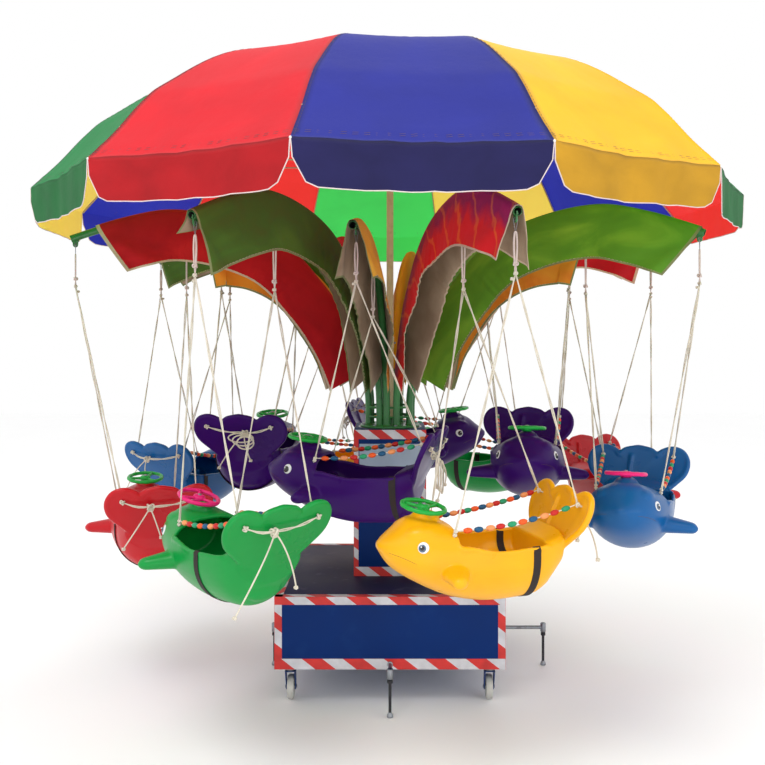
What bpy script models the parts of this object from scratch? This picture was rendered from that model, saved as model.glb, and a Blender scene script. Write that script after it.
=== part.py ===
# Fairground swing ride: a wheeled cabinet and pedestal carry a turning column of
# twelve arched pipes, whose hooks hold twelve fish-shaped seats under a round umbrella.
# Metres, +Z up. The origin is on the column's axis, at ground level.
# An arm is modelled along -Y and turned about Z; the camera side of the ride is -Y.

from math import cos, pi, radians, sin

import bmesh
import bpy
from mathutils import Matrix, Vector
from mathutils.bvhtree import BVHTree

# Driving dimensions
CANOPY_RADIUS = 1.70
CABINET_WIDTH = 1.044
CABINET_BOTTOM = 0.165
CABINET_TOP = 0.494
PEDESTAL_WIDTH = 0.354
PEDESTAL_TOP = 1.209
ROPE_DIAMETER = 0.008
PIPE_DIAMETER = 0.034
GAP = 0.0003
WELD_TOLERANCE = 0.00001

# Angles, from the camera side towards +X, in degrees
PANELS = 12
FIRST_RIB_ANGLE = 18.9
LONG_ARMS = 8
FIRST_LONG_ARM = 17.0
SHORT_ARMS = 4
FIRST_SHORT_ARM = -9.0
ARM_GROUPS = 4

# Arm pipes: centrelines through these (radius, height) points, standing on the flange
FLANGE_RADIUS = 0.150
FLANGE_THICKNESS = 0.012
FLANGE_PLAY = 0.0005
FLANGE_TOP = PEDESTAL_TOP + FLANGE_PLAY + FLANGE_THICKNESS
LONG_PIPE = ((0.110, FLANGE_TOP + GAP), (0.110, 1.330), (0.120, 1.420), (0.145, 1.510),
             (0.205, 1.660), (0.290, 1.812), (0.394, 1.945), (0.475, 2.035), (0.600, 2.128),
             (0.755, 2.192), (0.942, 2.234), (1.110, 2.240), (1.290, 2.198), (1.430, 2.150),
             (1.530, 2.112))
SHORT_PIPE = ((0.110, FLANGE_TOP + GAP), (0.110, 1.330), (0.120, 1.420), (0.145, 1.510),
              (0.195, 1.650), (0.265, 1.790), (0.350, 1.912), (0.450, 2.005), (0.560, 2.072),
              (0.690, 2.118), (0.830, 2.137), (0.900, 2.132), (0.970, 2.120))
TIE_HEIGHT = 1.310
TIE_RADIUS = 0.006
HOOK_TAB = (0.006, 0.024, 0.040)
HOOK_DROP = 0.045
HOOK_PLAY = 0.0007

# Fabric covers over the pipes
COVER_SHEET = 0.003
COVER_TOP = 0.0192
COVER_SHOULDER = (0.029, 0.0165)
COVER_HALF_WIDTH = 0.0775
COVER_DEPTH = 0.220
COVER_FOOT_STATION = 3
COVER_FOOT_RISE = 3
# Share of the half width, depth and shoulder width at the foot
COVER_FOOT_SCALE = (0.57, 0.90, 0.68)

# Seats, hung between an outer and an inner hook
LONG_HOOKS = (1.51, 1.01)
SHORT_HOOKS = (0.89, 0.49)
LONG_KNOTS = (1.930, 1.895)
SHORT_KNOTS = (1.930, 1.790)
# Each seat's distance beyond the hooks' middle, bottom and yaw in degrees
OUTER_SEATS = ((0.010, 0.689, 0.0), (-0.040, 0.737, 8.0), (0.0, 0.680, 0.0), (0.0, 0.680, 0.0),
               (0.0, 0.680, 0.0), (0.0, 0.680, 0.0), (-0.089, 0.607, 3.9), (0.021, 0.660, -20.0))
INNER_SEATS = ((0.007, 0.866, -4.9), (0.0, 0.880, 0.0), (0.0, 0.880, 0.0), (0.0, 0.880, 0.0))
HULL_WALL = 0.014
# The hull sits this far back of the hook line, which balances it
HULL_SHIFT = 0.0063
# Station along the seat, keel, widest level, top, half width, upper roundness
HULL_SECTIONS = (
    (-0.440, 0.208, 0.226, 0.242, 0.030, 2.0),
    (-0.398, 0.148, 0.213, 0.288, 0.092, 2.0),
    (-0.315, 0.092, 0.194, 0.338, 0.140, 2.2),
    (-0.190, 0.032, 0.180, 0.304, 0.171, 2.6),
    (-0.060, 0.003, 0.175, 0.230, 0.181, 5.0),
    (0.070, 0.003, 0.176, 0.226, 0.179, 6.0),
    (0.165, 0.020, 0.182, 0.236, 0.166, 5.0),
    (0.236, 0.112, 0.200, 0.266, 0.142, 4.0))
COCKPIT_START = 3
COCKPIT_END = 6
COCKPIT_ROOF = 0.50
# Floor of the cockpit at its stations, raised to a bench at the back
COCKPIT_FLOOR = (0.046, 0.017, 0.100, 0.100)
LEGROOM_OVERLAP = 0.030
FAN_FOOT = (0.172, 0.060)
FAN_HEAD = (0.325, 0.408)
FAN_THICKNESS = 0.028
# Half of the tail fan's outline as (across, up), from its foot to its top
FAN_OUTLINE = ((0.100, 0.000), (0.120, 0.130), (0.165, 0.185), (0.222, 0.245), (0.238, 0.308),
               (0.215, 0.360), (0.165, 0.378), (0.112, 0.360), (0.092, 0.335), (0.066, 0.364),
               (0.000, 0.380))
WHEEL_CENTRE = (-0.266, 0.357)
WHEEL_RADIUS = 0.080
WHEEL_RIM = 0.012
WHEEL_TILT = radians(8.0)
WHEEL_BAR = (0.022, 0.010)
WHEEL_STUB = (0.026, 0.018, 0.060, 0.004)
FIN_ROOT = (-0.190, 0.138)
# Reach from the seat's middle, half length and half height of a fin's two ends
FIN_ENDS = ((0.120, 0.050, 0.026), (0.285, 0.021, 0.015))
FIN_SWEEP = -0.25
HEAD_ROPE_AIM = (-0.206, 0.127, 0.214)
TAIL_HOLE = (0.161, 0.320)
HOLE_RADIUS = 0.0052
ROPE_STOP = 0.0005
ROPE_BEFORE_FAN = 0.010
ROPE_BEHIND_FAN = 0.008
# Share of the way up to the knot at which the bead line meets the head and tail ropes
BEAD_LINE_RISE = (0.057, 0.026)

# Umbrella: rib profile as (radius, height) in canopy radii, from the apex to the rim
RIB_PROFILE = ((0.000, 1.785), (0.300, 1.760), (0.594, 1.696), (0.796, 1.576),
               (0.862, 1.520), (0.932, 1.440), (1.000, 1.372))
PANEL_SAG = 0.012
CANOPY_SHEET = 0.003
VALANCE_DROP = 0.165
VALANCE_GAP = 0.10
MAST_RADIUS = 0.0175
RIB_RADIUS = 0.004
RIB_CLEARANCE = 0.0018
RIB_END_SETBACK = 0.004
HUB_RADIUS = 0.040
HUB_HEIGHT = 0.018
HUB_SHOULDER = 0.0036
HUB_TOP = RIB_PROFILE[0][1] * CANOPY_RADIUS - CANOPY_SHEET - 0.001
CANOPY_PIECES = 3

# Undercarriage
CASTER_OFFSET = 0.455
CASTER_RADIUS = 0.055
CASTER_WIDTH = 0.032
CASTER_TRAIL = 0.028
CASTER_PLAY = 0.0006
CASTER_HEAD = (0.032, 0.014)
CASTER_HUB_RADIUS = 0.012
CASTER_HUB_OVERHANG = 0.0025
FORK_THICKNESS = 0.004
FORK_OFFSET = 0.0045
# Share of the trail, height and half depth of a fork leg at three levels
FORK_LEVELS = ((0.0, 0.1564, 0.026), (0.6, 0.105, 0.020), (1.0, 0.042, 0.014))
OUTRIGGER_HEIGHT = 0.190
OUTRIGGER_BAR_RADIUS = 0.009
OUTRIGGER_PLATE = (0.050, 0.006, 0.040)
OUTRIGGER_SLEEVE = (0.014, 0.022)
OUTRIGGER_SCREW = (0.006, 0.006, 0.050)
OUTRIGGER_FOOT = (0.014, 0.010, 0.022)
OUTRIGGER_REACH = {"front": 0.640, "right": 0.775, "back": 0.640, "left": 0.585}
OUTRIGGER_TURN = {"front": 0.0, "right": 90.0, "back": 180.0, "left": -90.0}

for old in list(bpy.data.objects):
    bpy.data.objects.remove(old, do_unlink=True)

ride = bpy.data.collections.new("swing_ride")
bpy.context.scene.collection.children.link(ride)


def material(name, colour, roughness=0.45, metallic=0.0):
    made = bpy.data.materials.new(name)
    made.use_nodes = True
    shader = made.node_tree.nodes["Principled BSDF"]
    shader.inputs["Base Color"].default_value = (*colour, 1.0)
    shader.inputs["Roughness"].default_value = roughness
    shader.inputs["Metallic"].default_value = metallic
    return made


PAINT = {
    "yellow": material("yellow_plastic", (0.97, 0.51, 0.007)),
    "blue": material("blue_plastic", (0.007, 0.10, 0.35)),
    "red": material("red_plastic", (0.58, 0.013, 0.026)),
    "green": material("green_plastic", (0.004, 0.38, 0.08)),
    "purple": material("purple_plastic", (0.045, 0.010, 0.13)),
    "fabric": material("cover_fabric", (0.10, 0.30, 0.03), 0.8),
    "canopy": material("canopy_fabric", (0.85, 0.10, 0.08), 0.8),
    "rope": material("white_rope", (0.80, 0.76, 0.68), 0.9),
    "pipe": material("green_pipe", (0.02, 0.22, 0.05), 0.4, 0.3),
    "mast": material("mast_paint", (0.75, 0.70, 0.58), 0.5),
    "navy": material("navy_panel", (0.007, 0.025, 0.11), 0.5),
    "steel": material("zinc_steel", (0.40, 0.42, 0.45), 0.4, 0.9),
    "tyre": material("caster_tyre", (0.70, 0.70, 0.68), 0.6),
}


def add_object(name, mesh, paint, turn=0.0, place=Matrix.Identity(4)):
    """Link a mesh as a named piece, turned about Z by degrees."""
    piece = bpy.data.objects.new(name, mesh)
    mesh.materials.clear()
    mesh.materials.append(PAINT[paint])
    piece.matrix_world = Matrix.Rotation(radians(turn), 4, "Z") @ place
    ride.objects.link(piece)
    return piece


def mesh_from(bm, name):
    bmesh.ops.recalc_face_normals(bm, faces=bm.faces)
    mesh = bpy.data.meshes.new(name)
    bm.to_mesh(mesh)
    bm.free()
    return mesh


def box(size, centre, name="box"):
    bm = bmesh.new()
    bmesh.ops.create_cube(bm, size=1.0)
    bmesh.ops.transform(bm, matrix=Matrix.Diagonal((*size, 1.0)), verts=bm.verts)
    bmesh.ops.translate(bm, vec=centre, verts=bm.verts)
    return mesh_from(bm, name)


def rod(radius, start, end, sides=8, end_radius=None, name="rod"):
    """A cylinder or cone between two points."""
    start, end = Vector(start), Vector(end)
    along = end - start
    bm = bmesh.new()
    bmesh.ops.create_cone(bm, cap_ends=True, segments=sides, radius1=radius,
                          radius2=radius if end_radius is None else end_radius,
                          depth=along.length)
    turn = along.to_track_quat("Z", "Y").to_matrix().to_4x4()
    bmesh.ops.transform(bm, matrix=Matrix.Translation((start + end) / 2) @ turn, verts=bm.verts)
    return mesh_from(bm, name)


def tube(points, radius, resolution):
    """A bevelled curve through the points, made a closed mesh."""
    curve = bpy.data.curves.new("tube", "CURVE")
    curve.dimensions = "3D"
    curve.bevel_depth = radius
    curve.bevel_resolution = resolution
    curve.use_fill_caps = True
    spline = curve.splines.new("POLY")
    spline.points.add(len(points) - 1)
    for point, place in zip(spline.points, points):
        point.co = (*place, 1.0)
    holder = bpy.data.objects.new("tube", curve)
    bpy.context.scene.collection.objects.link(holder)
    bpy.context.view_layer.update()
    evaluated = holder.evaluated_get(bpy.context.evaluated_depsgraph_get())
    mesh = bpy.data.meshes.new_from_object(evaluated)
    bpy.data.objects.remove(holder, do_unlink=True)
    bpy.data.curves.remove(curve)
    bm = bmesh.new()
    bm.from_mesh(mesh)
    bmesh.ops.remove_doubles(bm, verts=bm.verts, dist=WELD_TOLERANCE)
    bmesh.ops.recalc_face_normals(bm, faces=bm.faces)
    bm.to_mesh(mesh)
    bm.free()
    return mesh


def combine(base, others, operation="UNION"):
    """Join the other meshes to the base, or cut them from it, one after another."""
    holder = bpy.data.objects.new("base", base)
    bpy.context.scene.collection.objects.link(holder)
    tools = []
    for other in others:
        tool = bpy.data.objects.new("tool", other)
        bpy.context.scene.collection.objects.link(tool)
        tools.append(tool)
        step = holder.modifiers.new("step", "BOOLEAN")
        step.operation = operation
        step.object = tool
    bpy.context.view_layer.update()
    evaluated = holder.evaluated_get(bpy.context.evaluated_depsgraph_get())
    mesh = bpy.data.meshes.new_from_object(evaluated)
    for used in [holder, *tools]:
        bpy.data.objects.remove(used, do_unlink=True)
    bm = bmesh.new()
    bm.from_mesh(mesh)
    bmesh.ops.remove_doubles(bm, verts=bm.verts, dist=WELD_TOLERANCE)
    bmesh.ops.dissolve_degenerate(bm, edges=bm.edges, dist=WELD_TOLERANCE)
    bm.to_mesh(mesh)
    bm.free()
    return mesh


def loft(rings, name):
    """A closed body through rings of equal point counts, with flat ends."""
    bm = bmesh.new()
    rows = [[bm.verts.new(point) for point in ring] for ring in rings]
    count = len(rows[0])
    for low, high in zip(rows, rows[1:]):
        for k in range(count):
            bm.faces.new((low[k], low[(k + 1) % count], high[(k + 1) % count], high[k]))
    bm.faces.new(rows[0][::-1])
    bm.faces.new(rows[-1])
    return mesh_from(bm, name)


def hoop(radius, thick, steps, sides):
    """A ring about Z with a round section of few sides."""
    bm = bmesh.new()
    rows = []
    for n in range(steps):
        angle = 2 * pi * n / steps
        row = []
        for k in range(sides):
            turn = 2 * pi * k / sides
            reach = radius + thick * cos(turn)
            row.append(bm.verts.new((reach * cos(angle), reach * sin(angle), thick * sin(turn))))
        rows.append(row)
    for n in range(steps):
        near, far = rows[n], rows[(n + 1) % steps]
        for k in range(sides):
            bm.faces.new((near[k], near[(k + 1) % sides], far[(k + 1) % sides], far[k]))
    return mesh_from(bm, "hoop")


def turned_copy(mesh, degrees):
    copy = mesh.copy()
    copy.transform(Matrix.Rotation(radians(degrees), 4, "Z"))
    return copy


def height_at(stations, radius):
    """Height of a pipe's centreline at a distance from the axis."""
    for low, high in zip(stations, stations[1:]):
        if low.x <= radius <= high.x:
            return low.y + (high.y - low.y) * (radius - low.x) / (high.x - low.x)
    return stations[-1].y


def hook_point(stations, radius):
    return Vector((0.0, -radius, height_at(stations, radius) - HOOK_DROP))


def solid_sheet(bm, thickness):
    """A sheet of faces thickened inwards to a closed body."""
    sheet = bpy.data.meshes.new("sheet")
    bm.to_mesh(sheet)
    bm.free()
    holder = bpy.data.objects.new("sheet", sheet)
    bpy.context.scene.collection.objects.link(holder)
    shell = holder.modifiers.new("sheet", "SOLIDIFY")
    shell.thickness = thickness
    shell.offset = -1.0
    shell.use_even_offset = True
    bpy.context.view_layer.update()
    evaluated = holder.evaluated_get(bpy.context.evaluated_depsgraph_get())
    mesh = bpy.data.meshes.new_from_object(evaluated)
    bpy.data.objects.remove(holder, do_unlink=True)
    return mesh


# Arms

def arm_mesh(stations, hooks):
    """One arched pipe with its two hook tabs."""
    pipe = tube([(0.0, -s.x, s.y) for s in stations], PIPE_DIAMETER / 2, 1)
    tabs = []
    for radius in hooks:
        low = hook_point(stations, radius)
        tabs.append(box(HOOK_TAB, low + Vector((0.0, 0.0, HOOK_TAB[2] / 2))))
    return combine(pipe, tabs)


def build_column(long_arm, short_arm):
    """The turning flange, and four groups of three arms, each with its part of the ring tie."""
    flange = rod(FLANGE_RADIUS, (0, 0, FLANGE_TOP - FLANGE_THICKNESS), (0, 0, FLANGE_TOP), 20)
    add_object("column_flange", flange, "pipe")
    each = LONG_ARMS // ARM_GROUPS
    for n in range(ARM_GROUPS):
        first = short_angles()[n]
        longs = long_angles()[each * n:each * (n + 1)]
        arms = [turned_copy(short_arm, first)] + [turned_copy(long_arm, turn) for turn in longs]
        steps = 3
        path = []
        for k in range(steps + 1):
            turn = radians(first + (longs[-1] - first) * k / steps)
            path.append((LONG_PIPE[0][0] * sin(turn), -LONG_PIPE[0][0] * cos(turn), TIE_HEIGHT))
        add_object("arm_group_" + str(n + 1), combine(tube(path, TIE_RADIUS, 0), arms), "pipe")


def long_angles():
    return [FIRST_LONG_ARM + 360.0 / LONG_ARMS * n for n in range(LONG_ARMS)]


def short_angles():
    return [FIRST_SHORT_ARM + 360.0 / SHORT_ARMS * n for n in range(SHORT_ARMS)]


def cover_piece(name, stations, last, turn):
    """An inverted V of fabric over the pipe, open below."""
    bm = bmesh.new()
    rows = []
    for n in range(COVER_FOOT_STATION, last + 1):
        here = stations[n]
        along = (stations[min(n + 1, len(stations) - 1)] - stations[n - 1]).normalized()
        up = Vector((-along.y, along.x))
        rise = min(1.0, (n - COVER_FOOT_STATION) / COVER_FOOT_RISE)
        half, depth, shoulder = (
            size * (scale + (1.0 - scale) * rise) for size, scale
            in zip((COVER_HALF_WIDTH, COVER_DEPTH, COVER_SHOULDER[0]), COVER_FOOT_SCALE))
        row = []
        section = ((-half, -depth), (-shoulder, COVER_SHOULDER[1]), (0.0, COVER_TOP),
                   (shoulder, COVER_SHOULDER[1]), (half, -depth))
        for across, normal in section:
            spot = here + up * normal
            row.append(bm.verts.new((across, -spot.x, spot.y)))
        rows.append(row)
    for low, high in zip(rows, rows[1:]):
        for k in range(4):
            bm.faces.new((low[k], high[k], high[k + 1], low[k + 1]))
    add_object(name, solid_sheet(bm, COVER_SHEET), "fabric", turn)


# Seats

def hull_ring(section, inset=0.0, roof=None):
    """Outline of the hull at a station: a round keel and a rounder or flatter top."""
    t, keel, level, top, half, power = section
    half -= inset
    top -= inset
    ring = []
    for k in range(5):
        angle = pi + pi * k / 4
        ring.append((t, half * cos(angle), level + (level - keel - inset) * sin(angle)))
    if roof is not None:
        return ring + [(t, half, roof), (t, -half, roof)]
    for k in range(1, 4):
        angle = pi * k / 4
        wide = abs(cos(angle)) ** (2 / power) * (1 if cos(angle) > 0 else -1)
        ring.append((t, half * wide, level + (top - level) * sin(angle) ** (2 / power)))
    return ring


def fan_frame():
    """Places the tail fan: its outline's plane leans back from the seat's end."""
    foot = Vector((FAN_FOOT[0], 0.0, FAN_FOOT[1]))
    up = (Vector((FAN_HEAD[0], 0.0, FAN_HEAD[1])) - foot).normalized()
    across = Vector((0.0, 1.0, 0.0))
    back = across.cross(up)
    rows = Matrix((across, up, back)).transposed().to_4x4()
    return Matrix.Translation(foot) @ rows


def fan_mesh():
    """The tail fan: three round lobes above a tapered neck."""
    outline = [*FAN_OUTLINE, *[(-x, y) for x, y in FAN_OUTLINE[-2::-1]]]
    place = fan_frame()
    half = FAN_THICKNESS / 2
    rings = [[place @ Vector((x, y, z)) for x, y in outline] for z in (-half, half)]
    return loft(rings, "fan")


def steering_mesh():
    """The toy steering wheel with its stub, as one piece."""
    centre = Vector((WHEEL_CENTRE[0], 0.0, WHEEL_CENTRE[1]))
    rim = hoop(WHEEL_RADIUS, WHEEL_RIM, 9, 3)
    wheel = combine(rim, [box((WHEEL_BAR[0], 2 * WHEEL_RADIUS, WHEEL_BAR[1]), (0, 0, 0))])
    wheel.transform(Matrix.Translation(centre) @ Matrix.Rotation(WHEEL_TILT, 4, "Y"))
    foot, head, below, above = WHEEL_STUB
    stub = rod(foot, centre - Vector((0, 0, below)), centre + Vector((0, 0, above)), 6, head)
    return combine(wheel, [stub])


def fin_mesh(side):
    """A stubby side fin, tapering outwards."""
    t, z = FIN_ROOT
    rings = []
    for reach, long, tall in FIN_ENDS:
        slip = (reach - FIN_ENDS[0][0]) * FIN_SWEEP
        ring = []
        for k in range(4):
            angle = 2 * pi * k / 4
            ring.append((t + slip + long * cos(angle), side * reach, z + tall * sin(angle)))
        rings.append(ring)
    return loft(rings, "fin")


def tail_holes():
    """Centre of each rope hole in the fan, and the fan's backward normal."""
    place = fan_frame()
    back = (place.to_3x3() @ Vector((0, 0, 1))).normalized()
    spots = {side: place @ Vector((side * TAIL_HOLE[0], TAIL_HOLE[1], 0))
             for side in (-1, 1)}
    return spots, back


def hull_mesh():
    """The fish-shaped seat in its own frame: X to the tail, origin under its middle."""
    body = loft([hull_ring(section) for section in HULL_SECTIONS], "body")
    stations = HULL_SECTIONS[COCKPIT_START:COCKPIT_END + 1]
    well = loft([hull_ring((section[0], floor - HULL_WALL, *section[2:]), HULL_WALL, COCKPIT_ROOF)
                 for section, floor in zip(stations, COCKPIT_FLOOR)], "well")
    head = [hull_ring(section, HULL_WALL) for section in HULL_SECTIONS[2:COCKPIT_START + 1]]
    head.append([(t + LEGROOM_OVERLAP, y, z) for t, y, z in head[-1]])
    shell = combine(body, [well, loft(head, "legroom")], "DIFFERENCE")
    solid = combine(shell, [fan_mesh(), steering_mesh(), fin_mesh(-1), fin_mesh(1)])
    spots, back = tail_holes()
    drills = [rod(HOLE_RADIUS, spot - back * 0.05, spot + back * 0.05, 6)
              for spot in spots.values()]
    return combine(solid, drills, "DIFFERENCE")


def seat_place(hooks, seat):
    """Where a seat hangs in its arm's frame."""
    beyond, bottom, yaw = seat
    middle = (hooks[0] + hooks[1]) / 2
    return (Matrix.Translation((0.0, -middle - beyond, bottom))
            @ Matrix.Rotation(radians(yaw), 4, "Z") @ Matrix.Translation((HULL_SHIFT, 0.0, 0.0)))


def clear_end(start, aim, hull_tree, radius):
    """Where a rope from start towards aim stops, just short of the hull."""
    along = (aim - start).normalized()
    side = along.orthogonal().normalized()
    other = along.cross(side)
    reach = []
    for k in range(8):
        angle = 2 * pi * k / 8
        origin = start + radius * (cos(angle) * side + sin(angle) * other)
        hit = hull_tree.ray_cast(origin, along)
        if hit[0] is not None:
            reach.append(hit[3])
    return start + along * (min(reach) - ROPE_STOP)


def harness_mesh(stations, hooks, knots, place, hull_tree):
    """The ropes of one seat in the arm's frame, joined through the tail fan's holes."""
    rope = ROPE_DIAMETER / 2
    spots, back = tail_holes()
    branches = []
    main = []
    for side, radius, knot_height in ((-1, hooks[0], knots[0]), (1, hooks[1], knots[1])):
        hook = hook_point(stations, radius) - Vector((0, 0, HOOK_PLAY))
        knot = Vector((0.0, -radius, knot_height))
        aim = Vector((HEAD_ROPE_AIM[0], side * HEAD_ROPE_AIM[1], HEAD_ROPE_AIM[2]))
        head = place @ clear_end(place.inverted() @ knot, aim, hull_tree, rope)
        front = place @ (spots[side] - back * (FAN_THICKNESS / 2 + ROPE_BEFORE_FAN))
        rear = place @ (spots[side] + back * (FAN_THICKNESS / 2 + ROPE_BEHIND_FAN))
        branches += [tube([knot, head], rope, 0),
                     tube([head.lerp(knot, BEAD_LINE_RISE[0]), front.lerp(knot, BEAD_LINE_RISE[1])], rope, 0)]
        main.append([hook, knot, front, rear])
    outer, inner = main
    return combine(tube([*outer, *inner[::-1]], rope, 0), branches)


# Umbrella

def rib_point(angle, station):
    radius, height = (value * CANOPY_RADIUS for value in RIB_PROFILE[station])
    return Vector((radius * sin(angle), -radius * cos(angle), height))


def wedge(first, last):
    """A tall prism from the axis between two angles, set back by half the gap."""
    middle = (first + last) / 2
    back = GAP / 2 / sin((last - first) / 2)
    far = 3 * CANOPY_RADIUS
    corners = [(back * sin(middle), -back * cos(middle))]
    for angle in (first, last):
        corners.append((corners[0][0] + far * sin(angle), corners[0][1] - far * cos(angle)))
    return loft([[(x, y, z) for x, y in corners] for z in (CANOPY_RADIUS, 2 * CANOPY_RADIUS)],
                "wedge")


def build_canopy():
    """Twelve sagging panels, each with a flap on its rim edge, in three closed pieces."""
    bm = bmesh.new()
    apex = bm.verts.new(rib_point(0.0, 0))
    columns = 2 * PANELS
    rows = [[apex] * columns]
    for station in range(1, len(RIB_PROFILE)):
        row = []
        for n in range(columns):
            angle = radians(FIRST_RIB_ANGLE + 180.0 / PANELS * n)
            spot = rib_point(angle, station)
            if n % 2:
                before = rib_point(angle - pi / PANELS, station)
                after = rib_point(angle + pi / PANELS, station)
                sag = PANEL_SAG * min(1.0, RIB_PROFILE[station][0] / 0.6)
                spot = (before + after) / 2 - Vector((0, 0, sag))
            row.append(bm.verts.new(spot))
        rows.append(row)
    for n in range(columns):
        m = (n + 1) % columns
        bm.faces.new((apex, rows[1][n], rows[1][m]))
        for upper, lower in zip(rows[1:], rows[2:]):
            bm.faces.new((upper[n], lower[n], lower[m], upper[m]))
    rim = rows[-1]
    for n in range(0, columns, 2):
        left, mid, right = rim[n], rim[n + 1], rim[(n + 2) % columns]
        low_mid = bm.verts.new(mid.co - Vector((0, 0, VALANCE_DROP)))
        low_left = bm.verts.new(left.co.lerp(mid.co, VALANCE_GAP) - Vector((0, 0, VALANCE_DROP)))
        low_right = bm.verts.new(right.co.lerp(mid.co, VALANCE_GAP) - Vector((0, 0, VALANCE_DROP)))
        bm.faces.new((left, low_left, low_mid, mid))
        bm.faces.new((mid, low_mid, low_right, right))
    sheet = solid_sheet(bm, CANOPY_SHEET)
    step = 2 * pi / CANOPY_PIECES
    for n in range(CANOPY_PIECES):
        first = radians(FIRST_RIB_ANGLE) + step * n
        cut = combine(sheet.copy(), [wedge(first, first + step)], "INTERSECT")
        add_object("canopy_" + str(n + 1), cut, "canopy")


def ribs_mesh():
    """A hub on the mast's top with a bent rod along each ridge of the canopy."""
    hub = rod(HUB_RADIUS, (0, 0, HUB_TOP - HUB_HEIGHT), (0, 0, HUB_TOP - HUB_SHOULDER), 12)
    rods = []
    drop = CANOPY_SHEET + RIB_RADIUS + RIB_CLEARANCE
    for n in range(PANELS):
        angle = radians(FIRST_RIB_ANGLE + 360.0 / PANELS * n)
        points = [rib_normal_offset(angle, station, drop) for station in range(1, len(RIB_PROFILE))]
        start = points[0] * 0.05
        start.z = HUB_TOP - HUB_HEIGHT / 2
        rods.append(tube([start, *points], RIB_RADIUS, 0))
    return combine(hub, rods)


def rib_normal_offset(angle, station, drop):
    """A point below the ridge line, square to it."""
    last = len(RIB_PROFILE) - 1
    before = Vector(RIB_PROFILE[max(station - 1, 0)])
    after = Vector(RIB_PROFILE[min(station + 1, last)])
    along = (after - before).normalized()
    down = Vector((along.y, -along.x))
    spot = Vector(RIB_PROFILE[station]) * CANOPY_RADIUS + down * drop
    if station == last:
        spot -= along * RIB_END_SETBACK
    return Vector((spot.x * sin(angle), -spot.x * cos(angle), spot.y))


# Base

def outrigger_mesh(reach):
    """A bar from the cabinet's side with a sleeve, a screw and a foot, along -Y."""
    start = CABINET_WIDTH / 2 + GAP
    level = OUTRIGGER_HEIGHT
    bar = rod(OUTRIGGER_BAR_RADIUS, (0, -start, level), (0, -reach, level), 6)
    plate = box(OUTRIGGER_PLATE, (0, -start - OUTRIGGER_PLATE[1] / 2, level))
    radius, half = OUTRIGGER_SLEEVE
    sleeve = rod(radius, (0, -reach, level - half), (0, -reach, level + half), 8)
    radius, low, over = OUTRIGGER_SCREW
    screw = rod(radius, (0, -reach, low), (0, -reach, level + over), 6)
    radius, top_radius, height = OUTRIGGER_FOOT
    foot = rod(radius, (0, -reach, 0.0), (0, -reach, height), 8, top_radius)
    return combine(bar, [plate, sleeve, screw, foot])


def caster_fork_mesh():
    """A swivel head under the cabinet with two legs, the wheel between them."""
    top = CABINET_BOTTOM - CASTER_PLAY
    head = rod(CASTER_HEAD[0], (0, 0, top - CASTER_HEAD[1]), (0, 0, top), 8)
    half_sheet = FORK_THICKNESS / 2
    legs = []
    for side in (-1, 1):
        x = side * (CASTER_WIDTH / 2 + FORK_OFFSET + CASTER_PLAY)
        rings = []
        for share, z, half in FORK_LEVELS:
            y = CASTER_TRAIL * share
            rings.append([(x - half_sheet, y - half, z), (x + half_sheet, y - half, z),
                          (x + half_sheet, y + half, z), (x - half_sheet, y + half, z)])
        legs.append(loft(rings, "leg"))
    return combine(head, legs)


def caster_wheel_mesh():
    tread = CASTER_WIDTH / 2 - FORK_THICKNESS / 2
    level = (CASTER_TRAIL, CASTER_RADIUS)
    wheel = rod(CASTER_RADIUS, (-tread, *level), (tread, *level), 16)
    reach = CASTER_WIDTH / 2 + CASTER_HUB_OVERHANG
    return combine(wheel, [rod(CASTER_HUB_RADIUS, (-reach, *level), (reach, *level), 6)])


def build_base():
    height = CABINET_TOP - CABINET_BOTTOM
    add_object("cabinet", box((CABINET_WIDTH, CABINET_WIDTH, height),
                              (0, 0, CABINET_BOTTOM + height / 2)), "navy")
    low = CABINET_TOP + GAP
    height = PEDESTAL_TOP - low
    add_object("pedestal", box((PEDESTAL_WIDTH, PEDESTAL_WIDTH, height),
                               (0, 0, low + height / 2)), "navy")
    for side, reach in OUTRIGGER_REACH.items():
        add_object("outrigger_" + side, outrigger_mesh(reach), "steel", OUTRIGGER_TURN[side])
    fork = caster_fork_mesh()
    wheel = caster_wheel_mesh()
    for n, corner in enumerate(("front_left", "front_right", "back_right", "back_left")):
        x = CASTER_OFFSET * (-1 if "left" in corner else 1)
        y = CASTER_OFFSET * (-1 if "front" in corner else 1)
        for kind, mesh, paint in (("fork", fork, "steel"), ("wheel", wheel, "tyre")):
            piece = add_object("caster_" + kind + "_" + corner, mesh.copy(), paint)
            piece.matrix_world = Matrix.Translation((x, y, 0.0))


def build_rotor():
    long_stations = [Vector(point) for point in LONG_PIPE]
    short_stations = [Vector(point) for point in SHORT_PIPE]
    build_column(arm_mesh(long_stations, LONG_HOOKS), arm_mesh(short_stations, SHORT_HOOKS))
    mast = rod(MAST_RADIUS, (0, 0, FLANGE_TOP + GAP), (0, 0, HUB_TOP - HUB_HEIGHT - GAP), 12)
    add_object("mast", mast, "mast")
    add_object("umbrella_ribs", ribs_mesh(), "mast")
    build_canopy()
    for ring, angles, stations in (("outer", long_angles(), long_stations),
                                   ("inner", short_angles(), short_stations)):
        for n, angle in enumerate(angles):
            cover_piece("cover_" + ring + "_" + str(n + 1), stations, len(stations) - 2, angle)
    return long_stations, short_stations


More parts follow.
